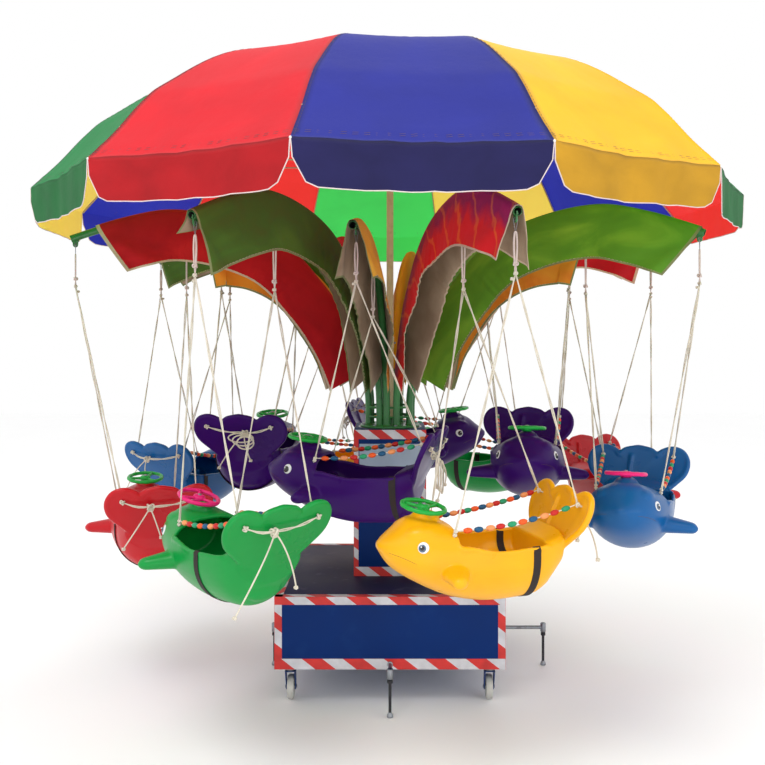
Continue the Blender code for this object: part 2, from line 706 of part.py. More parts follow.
def build_seats(long_stations, short_stations):
    hull = hull_mesh()
    bm = bmesh.new()
    bm.from_mesh(hull)
    tree = BVHTree.FromBMesh(bm)
    bm.free()
    colours = ("yellow", "blue", "red", "green")
    rings = (("outer", long_angles(), long_stations, LONG_HOOKS, LONG_KNOTS, OUTER_SEATS),
             ("inner", short_angles(), short_stations, SHORT_HOOKS, SHORT_KNOTS, INNER_SEATS))
    for ring, angles, stations, hooks, knots, seats in rings:
        for n, (angle, seat) in enumerate(zip(angles, seats)):
            place = seat_place(hooks, seat)
            ropes = harness_mesh(stations, hooks, knots, place, tree)
            paint = colours[n % 4] if ring == "outer" else "purple"
            add_object("seat_" + ring + "_" + str(n + 1), hull.copy(), paint, angle, place)
            add_object("ropes_" + ring + "_" + str(n + 1), ropes, "rope", angle)


build_base()
build_seats(*build_rotor())
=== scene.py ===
"""Looks of the swing ride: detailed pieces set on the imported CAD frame."""
import random
from math import atan2, cos, pi, radians, sin, sqrt

import bmesh
import bpy
from mathutils import Matrix, Vector, noise
from mathutils.bvhtree import BVHTree


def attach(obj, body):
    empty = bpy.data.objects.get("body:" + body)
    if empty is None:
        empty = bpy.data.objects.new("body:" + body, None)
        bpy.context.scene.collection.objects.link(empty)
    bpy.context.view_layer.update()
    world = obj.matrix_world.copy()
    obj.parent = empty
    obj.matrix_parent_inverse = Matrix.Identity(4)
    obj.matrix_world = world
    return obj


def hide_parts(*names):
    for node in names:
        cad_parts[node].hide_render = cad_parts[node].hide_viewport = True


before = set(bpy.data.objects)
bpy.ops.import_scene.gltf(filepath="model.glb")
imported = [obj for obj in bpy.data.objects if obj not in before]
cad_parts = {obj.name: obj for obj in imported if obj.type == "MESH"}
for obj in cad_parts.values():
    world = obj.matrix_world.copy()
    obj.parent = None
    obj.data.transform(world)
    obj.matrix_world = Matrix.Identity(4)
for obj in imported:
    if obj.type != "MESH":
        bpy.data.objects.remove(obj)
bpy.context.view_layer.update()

# The same driving dimensions as in part.py, in metres
CANOPY_RADIUS = 1.70
RIB_PROFILE = ((0.000, 1.785), (0.300, 1.760), (0.594, 1.696), (0.796, 1.576),
               (0.862, 1.520), (0.932, 1.440), (1.000, 1.372))
FIRST_RIB_ANGLE = 18.9
PANELS = 12
VALANCE_DROP = 0.165
FLANGE_TOP = 1.2215
LONG_PIPE = ((0.110, FLANGE_TOP), (0.110, 1.330), (0.120, 1.420), (0.145, 1.510),
             (0.205, 1.660), (0.290, 1.812), (0.394, 1.945), (0.475, 2.035), (0.600, 2.128),
             (0.755, 2.192), (0.942, 2.234), (1.110, 2.240), (1.290, 2.198), (1.430, 2.150),
             (1.530, 2.112))
SHORT_PIPE = ((0.110, FLANGE_TOP), (0.110, 1.330), (0.120, 1.420), (0.145, 1.510),
              (0.195, 1.650), (0.265, 1.790), (0.350, 1.912), (0.450, 2.005), (0.560, 2.072),
              (0.690, 2.118), (0.830, 2.137), (0.900, 2.132), (0.970, 2.120))
PIPE_RADIUS = 0.017
HOOK_DROP = 0.045
HULL_SHIFT = 0.0063
LONG_ANGLES = [17.0 + 45.0 * n for n in range(8)]
SHORT_ANGLES = [-9.0 + 90.0 * n for n in range(4)]
# Seat rings: hooks, knots and each seat's (distance beyond the middle, bottom, yaw)
RINGS = {
    "outer": (LONG_ANGLES, LONG_PIPE, (1.51, 1.01), (1.930, 1.895),
              ((0.010, 0.689, 0.0), (-0.040, 0.737, 8.0), (0.0, 0.680, 0.0), (0.0, 0.680, 0.0),
               (0.0, 0.680, 0.0), (0.0, 0.680, 0.0), (-0.089, 0.607, 3.9),
               (0.021, 0.660, -20.0))),
    "inner": (SHORT_ANGLES, SHORT_PIPE, (0.89, 0.49), (1.930, 1.790),
              ((0.007, 0.866, -4.9), (0.0, 0.880, 0.0), (0.0, 0.880, 0.0), (0.0, 0.880, 0.0))),
}
HULL_SECTIONS = (
    (-0.440, 0.208, 0.226, 0.242, 0.030, 2.0),
    (-0.398, 0.148, 0.213, 0.274, 0.090, 2.0),
    (-0.315, 0.092, 0.194, 0.326, 0.138, 2.1),
    (-0.190, 0.032, 0.180, 0.300, 0.171, 2.6),
    (-0.060, 0.003, 0.175, 0.230, 0.181, 5.0),
    (0.070, 0.003, 0.176, 0.226, 0.179, 6.0),
    (0.165, 0.020, 0.182, 0.236, 0.166, 5.0),
    (0.236, 0.112, 0.200, 0.266, 0.142, 4.0))
FAN_FOOT = Vector((0.172, 0.0, 0.060))
FAN_HEAD = Vector((0.325, 0.0, 0.408))
FAN_OUTLINE = ((0.100, 0.000), (0.120, 0.130), (0.165, 0.185), (0.222, 0.245), (0.238, 0.308),
               (0.215, 0.360), (0.165, 0.378), (0.112, 0.360), (0.092, 0.335), (0.066, 0.364),
               (0.000, 0.380))
TAIL_HOLE = (0.161, 0.320)
WHEEL_CENTRE = Vector((-0.266, 0.0, 0.357))
CABINET_WIDTH = 1.044
CABINET_BOTTOM, CABINET_TOP = 0.165, 0.494
PEDESTAL_WIDTH, PEDESTAL_TOP = 0.354, 1.209

dice = random.Random(7)


# Mesh building

def spin(degrees):
    return Matrix.Rotation(radians(degrees), 4, "Z")


def around(count):
    """Cosine and sine at count even steps round a circle."""
    return [(cos(2 * pi * k / count), sin(2 * pi * k / count)) for k in range(count)]


def smooth_path(points, per=6):
    """A Catmull-Rom curve through the points, with per steps between each two."""
    points = [Vector(p) for p in points]
    size = len(points)
    made = []
    for n in range(size - 1):
        a, b = points[max(n - 1, 0)], points[n]
        c, d = points[n + 1], points[min(n + 2, size - 1)]
        for k in range(per):
            t = k / per
            made.append(0.5 * (2 * b + (c - a) * t + (2 * a - 5 * b + 4 * c - d) * t * t
                               + (3 * b - a - 3 * c + d) * t ** 3))
    return made + [points[-1]]


class Shape:
    """Vertices, faces, materials and UVs of one piece while it's being built."""

    def __init__(self):
        self.verts, self.faces, self.marks, self.uvs = [], [], [], []

    def grid(self, rows, mark=0, uvs=None, closed=False, caps=False, flip=False):
        """Faces between rows of points; mark may be a function of (row, column)."""
        wide = len(rows[0])
        verts = [v for row in rows for v in row]
        flat = [w for row in uvs for w in row] if uvs else None
        base = len(self.verts)
        self.verts += [Vector(v) for v in verts]
        for j in range(len(rows) - 1):
            for k in range(wide if closed else wide - 1):
                m = (k + 1) % wide
                face = [j * wide + k, j * wide + m, (j + 1) * wide + m, (j + 1) * wide + k]
                if flip:
                    face.reverse()
                self.faces.append([base + i for i in face])
                self.marks.append(mark(j, k) if callable(mark) else mark)
                self.uvs.append([flat[i] for i in face] if flat else [(0.0, 0.0)] * 4)
        if caps:
            plain = mark if not callable(mark) else mark(0, 0)
            for row, turn in ((0, 1), (len(rows) - 1, -1)):
                face = [base + row * wide + k for k in range(wide)][::turn]
                self.faces.append(face[::-1])
                self.marks.append(plain)
                self.uvs.append([(0.0, 0.0)] * wide)

    def tube(self, points, radius, sides=8, mark=0, caps=True, closed=False):
        """A round tube along points; radius may be a list."""
        points = [Vector(p) for p in points]
        count = len(points)
        radii = radius if isinstance(radius, (list, tuple)) else [radius] * count
        ahead = []
        for n in range(count):
            if closed:
                step = points[(n + 1) % count] - points[n - 1]
            else:
                step = points[min(n + 1, count - 1)] - points[max(n - 1, 0)]
            ahead.append(step.normalized())
        side = ahead[0].orthogonal().normalized()
        rows, uvs, run = [], [], 0.0
        for n in range(count):
            if n:
                side = ahead[n - 1].rotation_difference(ahead[n]) @ side
                side = (side - ahead[n] * side.dot(ahead[n])).normalized()
                run += (points[n] - points[n - 1]).length
            other = ahead[n].cross(side)
            rows.append([points[n] + radii[n] * (c * side + s * other)
                         for c, s in around(sides)])
            uvs.append([(k / sides, run) for k in range(sides)])
        if closed:
            rows.append(rows[0])
            uvs.append(uvs[0])
        self.grid(rows, mark, uvs, closed=True, caps=caps and not closed)

    def lathe(self, profile, steps=24, mark=0, place=None):
        """A turned body about Z from (radius, height) points."""
        place = place or Matrix.Identity(4)
        rows = [[place @ Vector((r * c, r * s, z)) for c, s in around(steps)]
                for r, z in profile]
        self.grid(rows, mark, closed=True, caps=True)

    def ball(self, centre, size, mark=0, turn=None, steps=12):
        """An ellipsoid; size is a number or three half sizes."""
        size = Vector((size,) * 3) if isinstance(size, (int, float)) else Vector(size)
        turn = turn or Matrix.Identity(3)
        rows = []
        for j in range(1, steps // 2):
            tall = pi * j / (steps // 2)
            rows.append([Vector(centre) + turn @ Vector((
                size.x * sin(tall) * c, size.y * sin(tall) * s, -size.z * cos(tall)))
                for c, s in around(steps)])
        poles = [Vector(centre) + turn @ Vector((0, 0, s * size.z)) for s in (-1, 1)]
        base = len(self.verts)
        self.grid(rows, mark, closed=True)
        for pole, row, order in ((poles[0], 0, 1), (poles[1], len(rows) - 1, -1)):
            self.verts.append(pole)
            tip = len(self.verts) - 1
            for k in range(steps):
                face = [base + row * steps + k, tip, base + row * steps + (k + 1) % steps]
                self.faces.append(face[::order])
                self.marks.append(mark)
                self.uvs.append([(0.0, 0.0)] * 3)

    def block(self, size, centre, edge=0.002, mark=0, place=None):
        """A box with rounded edges."""
        bm = bmesh.new()
        bmesh.ops.create_cube(bm, size=1.0)
        bmesh.ops.transform(bm, matrix=Matrix.Diagonal((*size, 1.0)), verts=bm.verts)
        bmesh.ops.bevel(bm, geom=bm.edges[:], offset=min(edge, min(size) * 0.45), segments=2,
                        affect="EDGES", profile=0.5)
        where = (place or Matrix.Identity(4)) @ Matrix.Translation(centre)
        base = len(self.verts)
        self.verts += [where @ v.co for v in bm.verts]
        bm.verts.index_update()
        for face in bm.faces:
            self.faces.append([base + v.index for v in face.verts])
            self.marks.append(mark)
            self.uvs.append([(0.0, 0.0)] * len(face.verts))
        bm.free()

    def thicken(self, thickness, inner):
        """Gives a sheet a second layer; inner maps an outer material mark to the inner one."""
        count = len(self.verts)
        normals = [Vector((0, 0, 0)) for _ in range(count)]
        edges = {}
        for face in self.faces:
            a, b, c = (self.verts[face[k]] for k in (0, 1, 2))
            normal = (b - a).cross(c - a)
            if len(face) == 4:
                d = self.verts[face[3]]
                normal = (c - a).cross(d - b)
            for k, one in enumerate(face):
                normals[one] += normal
                two = face[(k + 1) % len(face)]
                edges.setdefault((min(one, two), max(one, two)), []).append((one, two))
        self.verts += [v - n.normalized() * thickness if n.length else v.copy()
                       for v, n in zip(self.verts, normals)]
        outer = list(zip(self.faces, self.marks, self.uvs))
        owner = {}
        for face, mark, uv in outer:
            self.faces.append([k + count for k in reversed(face)])
            self.marks.append(inner(mark))
            self.uvs.append(list(reversed(uv)))
            for k, one in enumerate(face):
                owner[(one, face[(k + 1) % len(face)])] = (mark, uv[k], uv[(k + 1) % len(face)])
        for pair in edges.values():
            if len(pair) == 1:
                one, two = pair[0]
                mark, u, v = owner[(one, two)]
                self.faces.append([two, one, one + count, two + count])
                self.marks.append(mark)
                self.uvs.append([v, u, u, v])

    def mesh(self, name, weld=0.0, smooth=True):
        mesh = bpy.data.meshes.new(name)
        mesh.from_pydata([tuple(v) for v in self.verts], [], self.faces)
        layer = mesh.uv_layers.new(name="UVMap")
        flat = [c for face in self.uvs for pair in face for c in pair]
        layer.data.foreach_set("uv", flat)
        mesh.polygons.foreach_set("material_index", self.marks)
        bm = bmesh.new()
        bm.from_mesh(mesh)
        if weld:
            bmesh.ops.remove_doubles(bm, verts=bm.verts, dist=weld)
        bm.to_mesh(mesh)
        bm.free()
        mesh.polygons.foreach_set("use_smooth", [smooth] * len(mesh.polygons))
        return mesh

    def place(self, name, materials, body, replaces=(), slot=None, turn=None, weld=0.0,
              sharp=40.0):
        """Makes the object, gives it its materials and lets it ride on a body."""
        if turn is not None:
            self.verts = [turn @ v for v in self.verts]
        mesh = self.mesh(name, weld)
        return place_mesh(mesh, name, materials, body, replaces, slot, sharp)


def place_mesh(mesh, name, materials, body, replaces=(), slot=None, sharp=40.0):
    made = bpy.data.objects.new(name, mesh)
    bpy.context.scene.collection.objects.link(made)
    if not mesh.materials:
        for one in materials:
            mesh.materials.append(one)
        if sharp:
            mesh.set_sharp_from_angle(angle=radians(sharp))
    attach(made, body)
    if replaces:
        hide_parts(*replaces)
    return made


# Materials

def lin(red, green, blue):
    """Linear colour of an sRGB one out of 255."""
    return tuple((c / 255 / 12.92) if c / 255 <= 0.04045 else ((c / 255 + 0.055) / 1.055) ** 2.4
                 for c in (red, green, blue)) + (1.0,)


class Look:
    """A principled material with short ways to fill its node tree."""

    def __init__(self, name):
        self.material = bpy.data.materials.new(name)
        self.material.use_nodes = True
        self.tree = self.material.node_tree
        self.shader = self.tree.nodes["Principled BSDF"]
        where = self.node("TexCoord")
        self.uv, self.spot = where["UV"], where["Object"]

    def set(self, node, values):
        """Fills a node's inputs: a socket is joined, anything else is set."""
        for key, value in values.items():
            if isinstance(value, bpy.types.NodeSocket):
                self.tree.links.new(value, node.inputs[key])
            else:
                node.inputs[key].default_value = value

    def node(self, kind, values=None, out=None, **settings):
        """Adds a node and returns one of its outputs, or all of them."""
        made = self.tree.nodes.new("ShaderNode" + kind)
        for key, value in settings.items():
            setattr(made, key, value)
        self.set(made, values or {})
        return made.outputs[out] if out else made.outputs

    def noise(self, vector, scale, detail, distortion=0.0):
        return self.node("TexNoise", {"Vector": vector, "Scale": scale, "Detail": detail,
                                      "Distortion": distortion}, "Fac")

    def spread(self, value, old, new):
        """Maps one range of values onto another."""
        return self.node("MapRange", {"Value": value, "From Min": old[0], "From Max": old[1],
                                      "To Min": new[0], "To Max": new[1]}, "Result")

    def bump(self, height, strength, distance, **under):
        return self.node("Bump", {"Height": height, "Strength": strength,
                                  "Distance": distance, **under}, "Normal")

    def math(self, operation, *values):
        return self.node("Math", dict(enumerate(values)), "Value", operation=operation)

    def mix(self, factor, first, second):
        return self.node("Mix", {"Factor": factor, "A": first, "B": second}, "Result",
                         data_type="RGBA")

    def ramp(self, value, stops):
        made = self.tree.nodes.new("ShaderNodeValToRGB")
        line = made.color_ramp.elements
        while len(line) < len(stops):
            line.new(0.5)
        for element, (at, colour) in zip(line, stops):
            element.position = at
            element.color = colour
        self.set(made, {"Fac": value})
        return made.outputs["Color"]


def shade(colour, factor):
    return tuple(min(1.0, c * factor) for c in colour[:3]) + (1.0,)


def two_stops(colour, low, high, ends=(0.3, 0.7)):
    """Ramp stops from a darker to a lighter shade of a colour."""
    return [(at, shade(colour, share)) for at, share in zip(ends, (low, high))]


def finish(name, colour, low=0.9, high=1.08, ends=(0.3, 0.7), scale=4.0, rough=(0.3, 0.45),
           bump=(0.1, 0.001, 300.0), metallic=0.0, coat=0.0, sheen=0.0, specular=0.5, wear=None):
    """A mottled surface; bump is strength, distance and scale, wear is tint, amount and scale."""
    look = Look(name)
    cloud = look.noise(look.spot, scale, 4.0)
    paint = look.ramp(cloud, two_stops(colour, low, high, ends))
    if wear:
        tint, amount, size = wear
        mask = look.spread(look.noise(look.spot, size, 8.0), (0.58, 0.72), (0.0, amount))
        paint = look.mix(mask, paint, tint)
    strength, distance, grain = bump
    look.set(look.shader, {
        "Base Color": paint, "Roughness": look.spread(cloud, (0.3, 0.7), rough),
        "Normal": look.bump(look.noise(look.spot, grain, 2.0), strength, distance),
        "Metallic": metallic, "Coat Weight": coat, "Coat Roughness": 0.12,
        "Sheen Weight": sheen, "Specular IOR Level": specular})
    return look.material


def plastic(name, colour, shine=0.30):
    """Glossy blown plastic with slight clouding and scuffs."""
    return finish(name, colour, ends=(0.25, 0.75), scale=5.0, rough=(0.26, 0.40),
                  bump=(0.10, 0.0010, 120.0), coat=0.2 * shine, specular=shine,
                  wear=(shade(colour, 0.78), 0.18, 11.0))


WEAVE_SCALE = 0.314 / 0.0011


def cloth(name, stops, along=3.0, across=3.0, streak=0.35, painted_daylight=0.0, paint=None):
    """Coated woven cloth in UV metres: weave bump, stretched streaks and soft stains.

    The daylight strength sets an emission in the cloth's own colour: painted daylight that stands
    in for light shining through the cloth; paint may be a function that gives the colour of a
    Look.
    """
    look = Look(name)
    stretched = look.node("Mapping", {"Vector": look.uv, "Scale": (across, along, 1.0)}, "Vector")
    cloud = look.noise(stretched, 1.0, 5.0, streak)
    colour = paint(look) if paint else look.ramp(cloud, stops)
    threads = [look.node("TexWave", {"Vector": look.uv, "Scale": WEAVE_SCALE}, "Fac",
                         bands_direction=direction) for direction in "XY"]
    weave = look.bump(look.math("MULTIPLY", *threads), 0.35, 0.0003)
    crumple = look.noise(look.spot, 22.0, 3.0)
    look.set(look.shader, {
        "Base Color": colour, "Roughness": look.spread(cloud, (0.0, 1.0), (0.62, 0.8)),
        "Normal": look.bump(crumple, 0.30, 0.006, Normal=weave),
        "Sheen Weight": 0.04, "Specular IOR Level": 0.16})
    # painted daylight: the cloth emits its own colour, standing in for light shining through it
    if painted_daylight:
        look.set(look.shader, {"Emission Color": colour, "Emission Strength": painted_daylight})
    return look.material


def striped(name, first, second, pitch, slope=1.3):
    """Diagonal tape stripes in UV metres, with scuffed colours."""
    look = Look(name)
    uv = look.node("SeparateXYZ", {"Vector": look.uv})
    slanted = look.math("MULTIPLY_ADD", uv["Y"], slope, uv["X"])
    share = look.math("FRACT", look.math("DIVIDE", slanted, pitch))
    stain = look.noise(look.spot, 18.0, 6.0)
    colours = [look.ramp(stain, two_stops(colour, 0.78, 1.05)) for colour in (first, second)]
    look.set(look.shader, {
        "Base Color": look.mix(look.math("GREATER_THAN", share, 0.5), *colours),
        "Normal": look.bump(stain, 0.12, 0.0008), "Roughness": 0.55})
    return look.material


HULL_PAINT = {name: plastic("hull_" + name, lin(*tone), shine) for name, tone, shine in
              (("yellow", (246, 174, 6), 0.30), ("green", (0, 146, 60), 0.30),
               ("blue", (0, 88, 152), 0.30), ("red", (194, 14, 28), 0.30),
               ("purple", (54, 14, 98), 0.12))}
WHEEL_GREEN = plastic("wheel_green", lin(25, 165, 62))
WHEEL_PINK = plastic("wheel_pink", lin(232, 28, 118))
BEADS = [plastic("bead_" + name, lin(*tone)) for name, tone in
         (("orange", (236, 88, 28)), ("blue", (20, 84, 124)), ("pale", (236, 150, 92)),
          ("red", (196, 34, 30)), ("green", (34, 150, 104)))]
TWISTED = {"scale": 30.0, "rough": (0.8, 0.95), "bump": (0.8, 0.0012, 700.0), "sheen": 0.2}
ROPE = finish("rope_cream", lin(222, 214, 196), 0.82, 1.06, **TWISTED)
LINK = finish("rope_link", lin(214, 196, 188), 0.84, 1.05, **TWISTED)
STRAP = finish("strap_webbing", lin(38, 28, 26), 0.7, 1.3, scale=60.0, rough=(0.7, 0.85),
               bump=(0.7, 0.001, 500.0))
ENAMEL = (0.05, 0.0005, 200.0)
EYE_WHITE = finish("eye_white", lin(236, 238, 240), rough=(0.15, 0.25), bump=ENAMEL, coat=0.4)
EYE_IRIS = finish("eye_iris", lin(84, 104, 128), rough=(0.15, 0.25), bump=ENAMEL, coat=0.4)
EYE_DARK = finish("eye_dark", lin(14, 14, 18), rough=(0.12, 0.2), bump=ENAMEL, coat=0.5)
# the mouth line's dark brown: painted shade of a groove
MOUTH_SHADE = finish("mouth_painted_shade", lin(84, 62, 40), rough=(0.6, 0.8))
PIPE_GREEN = finish("pipe_green", lin(46, 118, 58), 0.8, 1.15, scale=9.0, rough=(0.28, 0.5),
                    bump=(0.2, 0.001, 120.0), coat=0.15, wear=(lin(30, 60, 34), 0.5, 30.0))
# near black inside the open pipe ends: painted shade of the hollow
BORE_SHADE = finish("bore_painted_shade", lin(18, 22, 18), rough=(0.8, 0.9))
MAST_PAINT = finish("mast_beige", lin(196, 178, 140), 0.88, 1.08, scale=6.0, rough=(0.35, 0.55),
                    bump=(0.15, 0.001, 150.0), wear=(lin(140, 124, 98), 0.4, 26.0))
TIP_WHITE = finish("tip_white", lin(232, 232, 228), rough=(0.3, 0.4))
PLATED = (0.3, 0.0006, 260.0)
STEEL = finish("steel_zinc", lin(150, 154, 160), 0.75, 1.15, scale=24.0, rough=(0.3, 0.5),
               metallic=0.85, bump=PLATED, wear=(lin(84, 74, 66), 0.5, 40.0))
STEEL_DARK = finish("steel_dark", lin(58, 58, 62), 0.7, 1.2, scale=24.0, rough=(0.4, 0.6),
                    metallic=0.7, bump=PLATED)
BRACKET_BLUE = finish("bracket_blue", lin(30, 60, 120), 0.8, 1.1, scale=20.0,
                      rough=(0.35, 0.55), metallic=0.2)
TYRE = finish("tyre_grey", lin(196, 196, 190), 0.8, 1.04, scale=26.0, rough=(0.5, 0.7),
              bump=(0.3, 0.0008, 200.0), wear=(lin(120, 114, 104), 0.6, 30.0))
NAVY = finish("panel_navy", lin(0, 40, 102), 0.88, 1.10, scale=2.5, rough=(0.5, 0.62),
              bump=(0.1, 0.001, 60.0), specular=0.14, wear=(lin(20, 60, 120), 0.3, 9.0))
NAVY_TOP = finish("panel_top", lin(36, 34, 70), 0.8, 1.15, scale=3.0, rough=(0.52, 0.68),
                  bump=(0.15, 0.001, 60.0), specular=0.25, wear=(lin(86, 82, 104), 0.4, 12.0))
PALE_PANEL = finish("panel_pale", lin(150, 166, 186), 0.86, 1.06, scale=5.0, rough=(0.35, 0.5),
                    bump=(0.1, 0.001, 60.0))
TAPE, TAPE_SMALL = (striped(name, lin(206, 40, 36), lin(206, 206, 212), pitch)
                    for name, pitch in (("tape_hazard", 0.185), ("tape_small", 0.128)))
CORDED = (0.5, 0.0006, 600.0)
PIPING = finish("piping_white", lin(222, 206, 204), scale=40.0, rough=(0.6, 0.8), bump=CORDED)
THREAD = finish("thread_grey", lin(116, 92, 96), scale=40.0, rough=(0.7, 0.9))
HEM, HEM_OLIVE = (finish(name, lin(*tone), 0.85, 1.05, scale=30.0, rough=(0.75, 0.9), bump=CORDED)
                  for name, tone in (("hem_beige", (206, 184, 160)),
                                     ("hem_olive", (128, 134, 88))))
LINING = cloth("lining_tan", ((0.3, lin(148, 124, 102)), (0.7, lin(186, 164, 140))), 4.0, 6.0)


# Umbrella

# Outside, valance and inside of each colour of panel; the inside tone is lightened as painted
# daylight, for light shining through the cloth
PANEL_TONES = {
    "yellow": ((244, 184, 40), (238, 178, 48), (255, 222, 96)),
    "green": ((14, 122, 60), (14, 126, 58), (70, 220, 100)),
    "red": ((206, 34, 44), (212, 34, 42), (255, 56, 54)),
    "blue": ((42, 48, 138), (46, 44, 100), (40, 50, 180)),
}
# Name, darkest and lightest share, streaks along the cloth and painted daylight through it, an
# emission; the valance's low shares are painted shade on the hanging flaps
PANEL_PARTS = (("canopy_", 0.86, 1.12, 1.6, 0.0), ("valance_painted_shade_", 0.46, 0.76, 5.0, 0.0),
               ("inside_painted_daylight_", 0.92, 1.1, 1.6, 0.38))


def rib_radius_height(share):
    """Radius and height of the canopy's ridge at a share of the rib's length."""
    at = share * (len(PROFILE_PATH) - 1)
    low = min(int(at), len(PROFILE_PATH) - 2)
    spot = PROFILE_PATH[low].lerp(PROFILE_PATH[low + 1], at - low)
    return spot.x * CANOPY_RADIUS, spot.y * CANOPY_RADIUS


PROFILE_PATH = smooth_path([(r, z, 0) for r, z in RIB_PROFILE], 8)
UMBRELLA_ROWS = 44
PANEL_COLUMNS = 22
ACROSS_PANEL = [k / PANEL_COLUMNS for k in range(PANEL_COLUMNS + 1)]
PANEL_SAG = 0.014
RIM_SEAM = 0.0016
FLAP_ROWS = 9
FLAP_ROUND = 0.098
FLAP_GAP = 0.013


def on_rim(radius, height, angle):
    return Vector((radius * sin(angle), -radius * cos(angle), height))


def panel_edges(panel, share):
    """A panel's two points on its ribs, and the angle halfway between them."""
    radius, height = rib_radius_height(share)
    first = radians(FIRST_RIB_ANGLE + 30.0 * panel)
    return on_rim(radius, height, first), on_rim(radius, height, first + pi / 6), first + pi / 12


def canopy_point(panel, share, u):
    """A point of a sagging panel, u from one rib to the next."""
    one, two, middle = panel_edges(panel, share)
    spot = one.lerp(two, u)
    out = Vector((sin(middle), -cos(middle), 0.9)).normalized()
    belly = sin(pi * u)
    spot -= out * PANEL_SAG * belly * min(1.0, share / 0.5)
    # tension wrinkles, strongest by the rim and midway between the ribs
    near_rim = max(0.0, (share - 0.55) / 0.45) ** 2
    at = Vector((spot.x * 3.1, spot.y * 3.1, spot.z * 6.0))
    spot += out * 0.010 * near_rim * belly * noise.noise(at)
    spot += out * 0.0022 * belly * noise.noise(Vector((u * 34.0 + panel * 9.1, share * 4.0, 3.3)))
    gather = sin(u * 2 * pi * 17 + 2.2 * noise.noise(Vector((u * 6, panel * 3.7, share * 2))))
    spot += out * 0.0025 * belly ** 0.5 * near_rim * gather
    return spot


def flap_drop(edge):
    """How far a flap hangs at a distance from its side edge, with a rounded corner."""
    if edge >= FLAP_ROUND:
        return VALANCE_DROP
    return VALANCE_DROP - FLAP_ROUND + sqrt(max(0.0, FLAP_ROUND ** 2 - (FLAP_ROUND - edge) ** 2))


def flap_row(panel, j):
    """One row of a panel's hanging flap, and its UVs."""
    one, two, middle = panel_edges(panel, 1.0)
    out = Vector((sin(middle), -cos(middle), 0.0))
    row, uv = [], []
    for u in ACROSS_PANEL:
        down = flap_drop(min(u, 1 - u) * (two - one).length) * j / FLAP_ROWS
        slip = FLAP_GAP * (down / VALANCE_DROP) ** 0.8 * (1 - 2 * u)
        wave = noise.noise(Vector((u * 5.0 + panel * 4.3, down * 9.0, 1.7)))
        fine = noise.noise(Vector((u * 24.0, down * 14.0, panel * 2.9)))
        spot = (canopy_point(panel, 1.0, u) + (two - one).normalized() * slip
                - Vector((0, 0, down)))
        spot += out * (down / VALANCE_DROP) * (0.010 * wave + 0.003 * fine - 0.004)
        row.append(spot)
        uv.append(((u - 0.5) * 0.88, 2.0 + down))
    return row, uv


def build_canopy():
    shape = Shape()
    flaps = []
    for panel in range(PANELS):
        # three materials a colour, in the order of PANEL_PARTS
        mark = 3 * (panel % 4)
        rows, uvs = [], []
        for j in range(UMBRELLA_ROWS + 1):
            share = max(0.012, (j / UMBRELLA_ROWS) ** 0.9)
            radius = rib_radius_height(share)[0]
            rows.append([canopy_point(panel, share, u) for u in ACROSS_PANEL])
            if j == UMBRELLA_ROWS - 4:
                for spot in rows[-1]:
                    spot.z += RIM_SEAM
            uvs.append([((u - 0.5) * radius * 0.52, share * 2.0) for u in ACROSS_PANEL])
        shape.grid(rows, mark, uvs, flip=True)
        # the hanging flap takes the valance material, darkened as painted shade
        flap, uvs = zip(*(flap_row(panel, j) for j in range(FLAP_ROWS + 1)))
        shape.grid(flap, mark + 1, uvs, flip=True)
        flaps.append(flap)
    # the inner layer takes the inside material, lightened and emitting as painted daylight
    shape.thicken(0.0012, lambda mark: mark // 3 * 3 + 2)
    materials = [cloth(part + tone, two_stops(lin(*colour), low, high, (0.25, 0.75)), along,
                       painted_daylight=painted_daylight)
                 for tone, colours in PANEL_TONES.items()
                 for colour, (part, low, high, along, painted_daylight) in zip(colours, PANEL_PARTS)]
    canopy = shape.place("umbrella_canopy", materials, "rotor",
                         ("canopy_1", "canopy_2", "canopy_3"), "canopy_fabric", weld=0.0002,
                         sharp=50.0)
    # pale piping round every flap and a stitched line above it
    trim = Shape()
    for flap in flaps:
        trim.tube([row[0] for row in flap] + flap[-1][1:-1] + [row[-1] for row in flap][::-1],
                  0.0021, 6)
    piping = trim.place("umbrella_piping", [PIPING], "rotor")
    thread = Shape()
    lift = Vector((0, 0, 0.0006))
    for panel in range(PANELS):
        ends = [[canopy_point(panel, share, (k + s) / 44) for s in (0.05, 1.1)]
                for share in (0.945, 0.957) for k in range(0, 44, 2)]
        ends += [[canopy_point(panel, 0.02 + 0.98 * (k + s) / 60, 0.012) for s in (0.1, 0.6)]
                 for k in range(60)]
        for pair in ends:
            thread.tube([spot + lift for spot in pair], 0.0006, 4)
    stitches = thread.place("umbrella_stitches", [THREAD], "rotor")
    return canopy


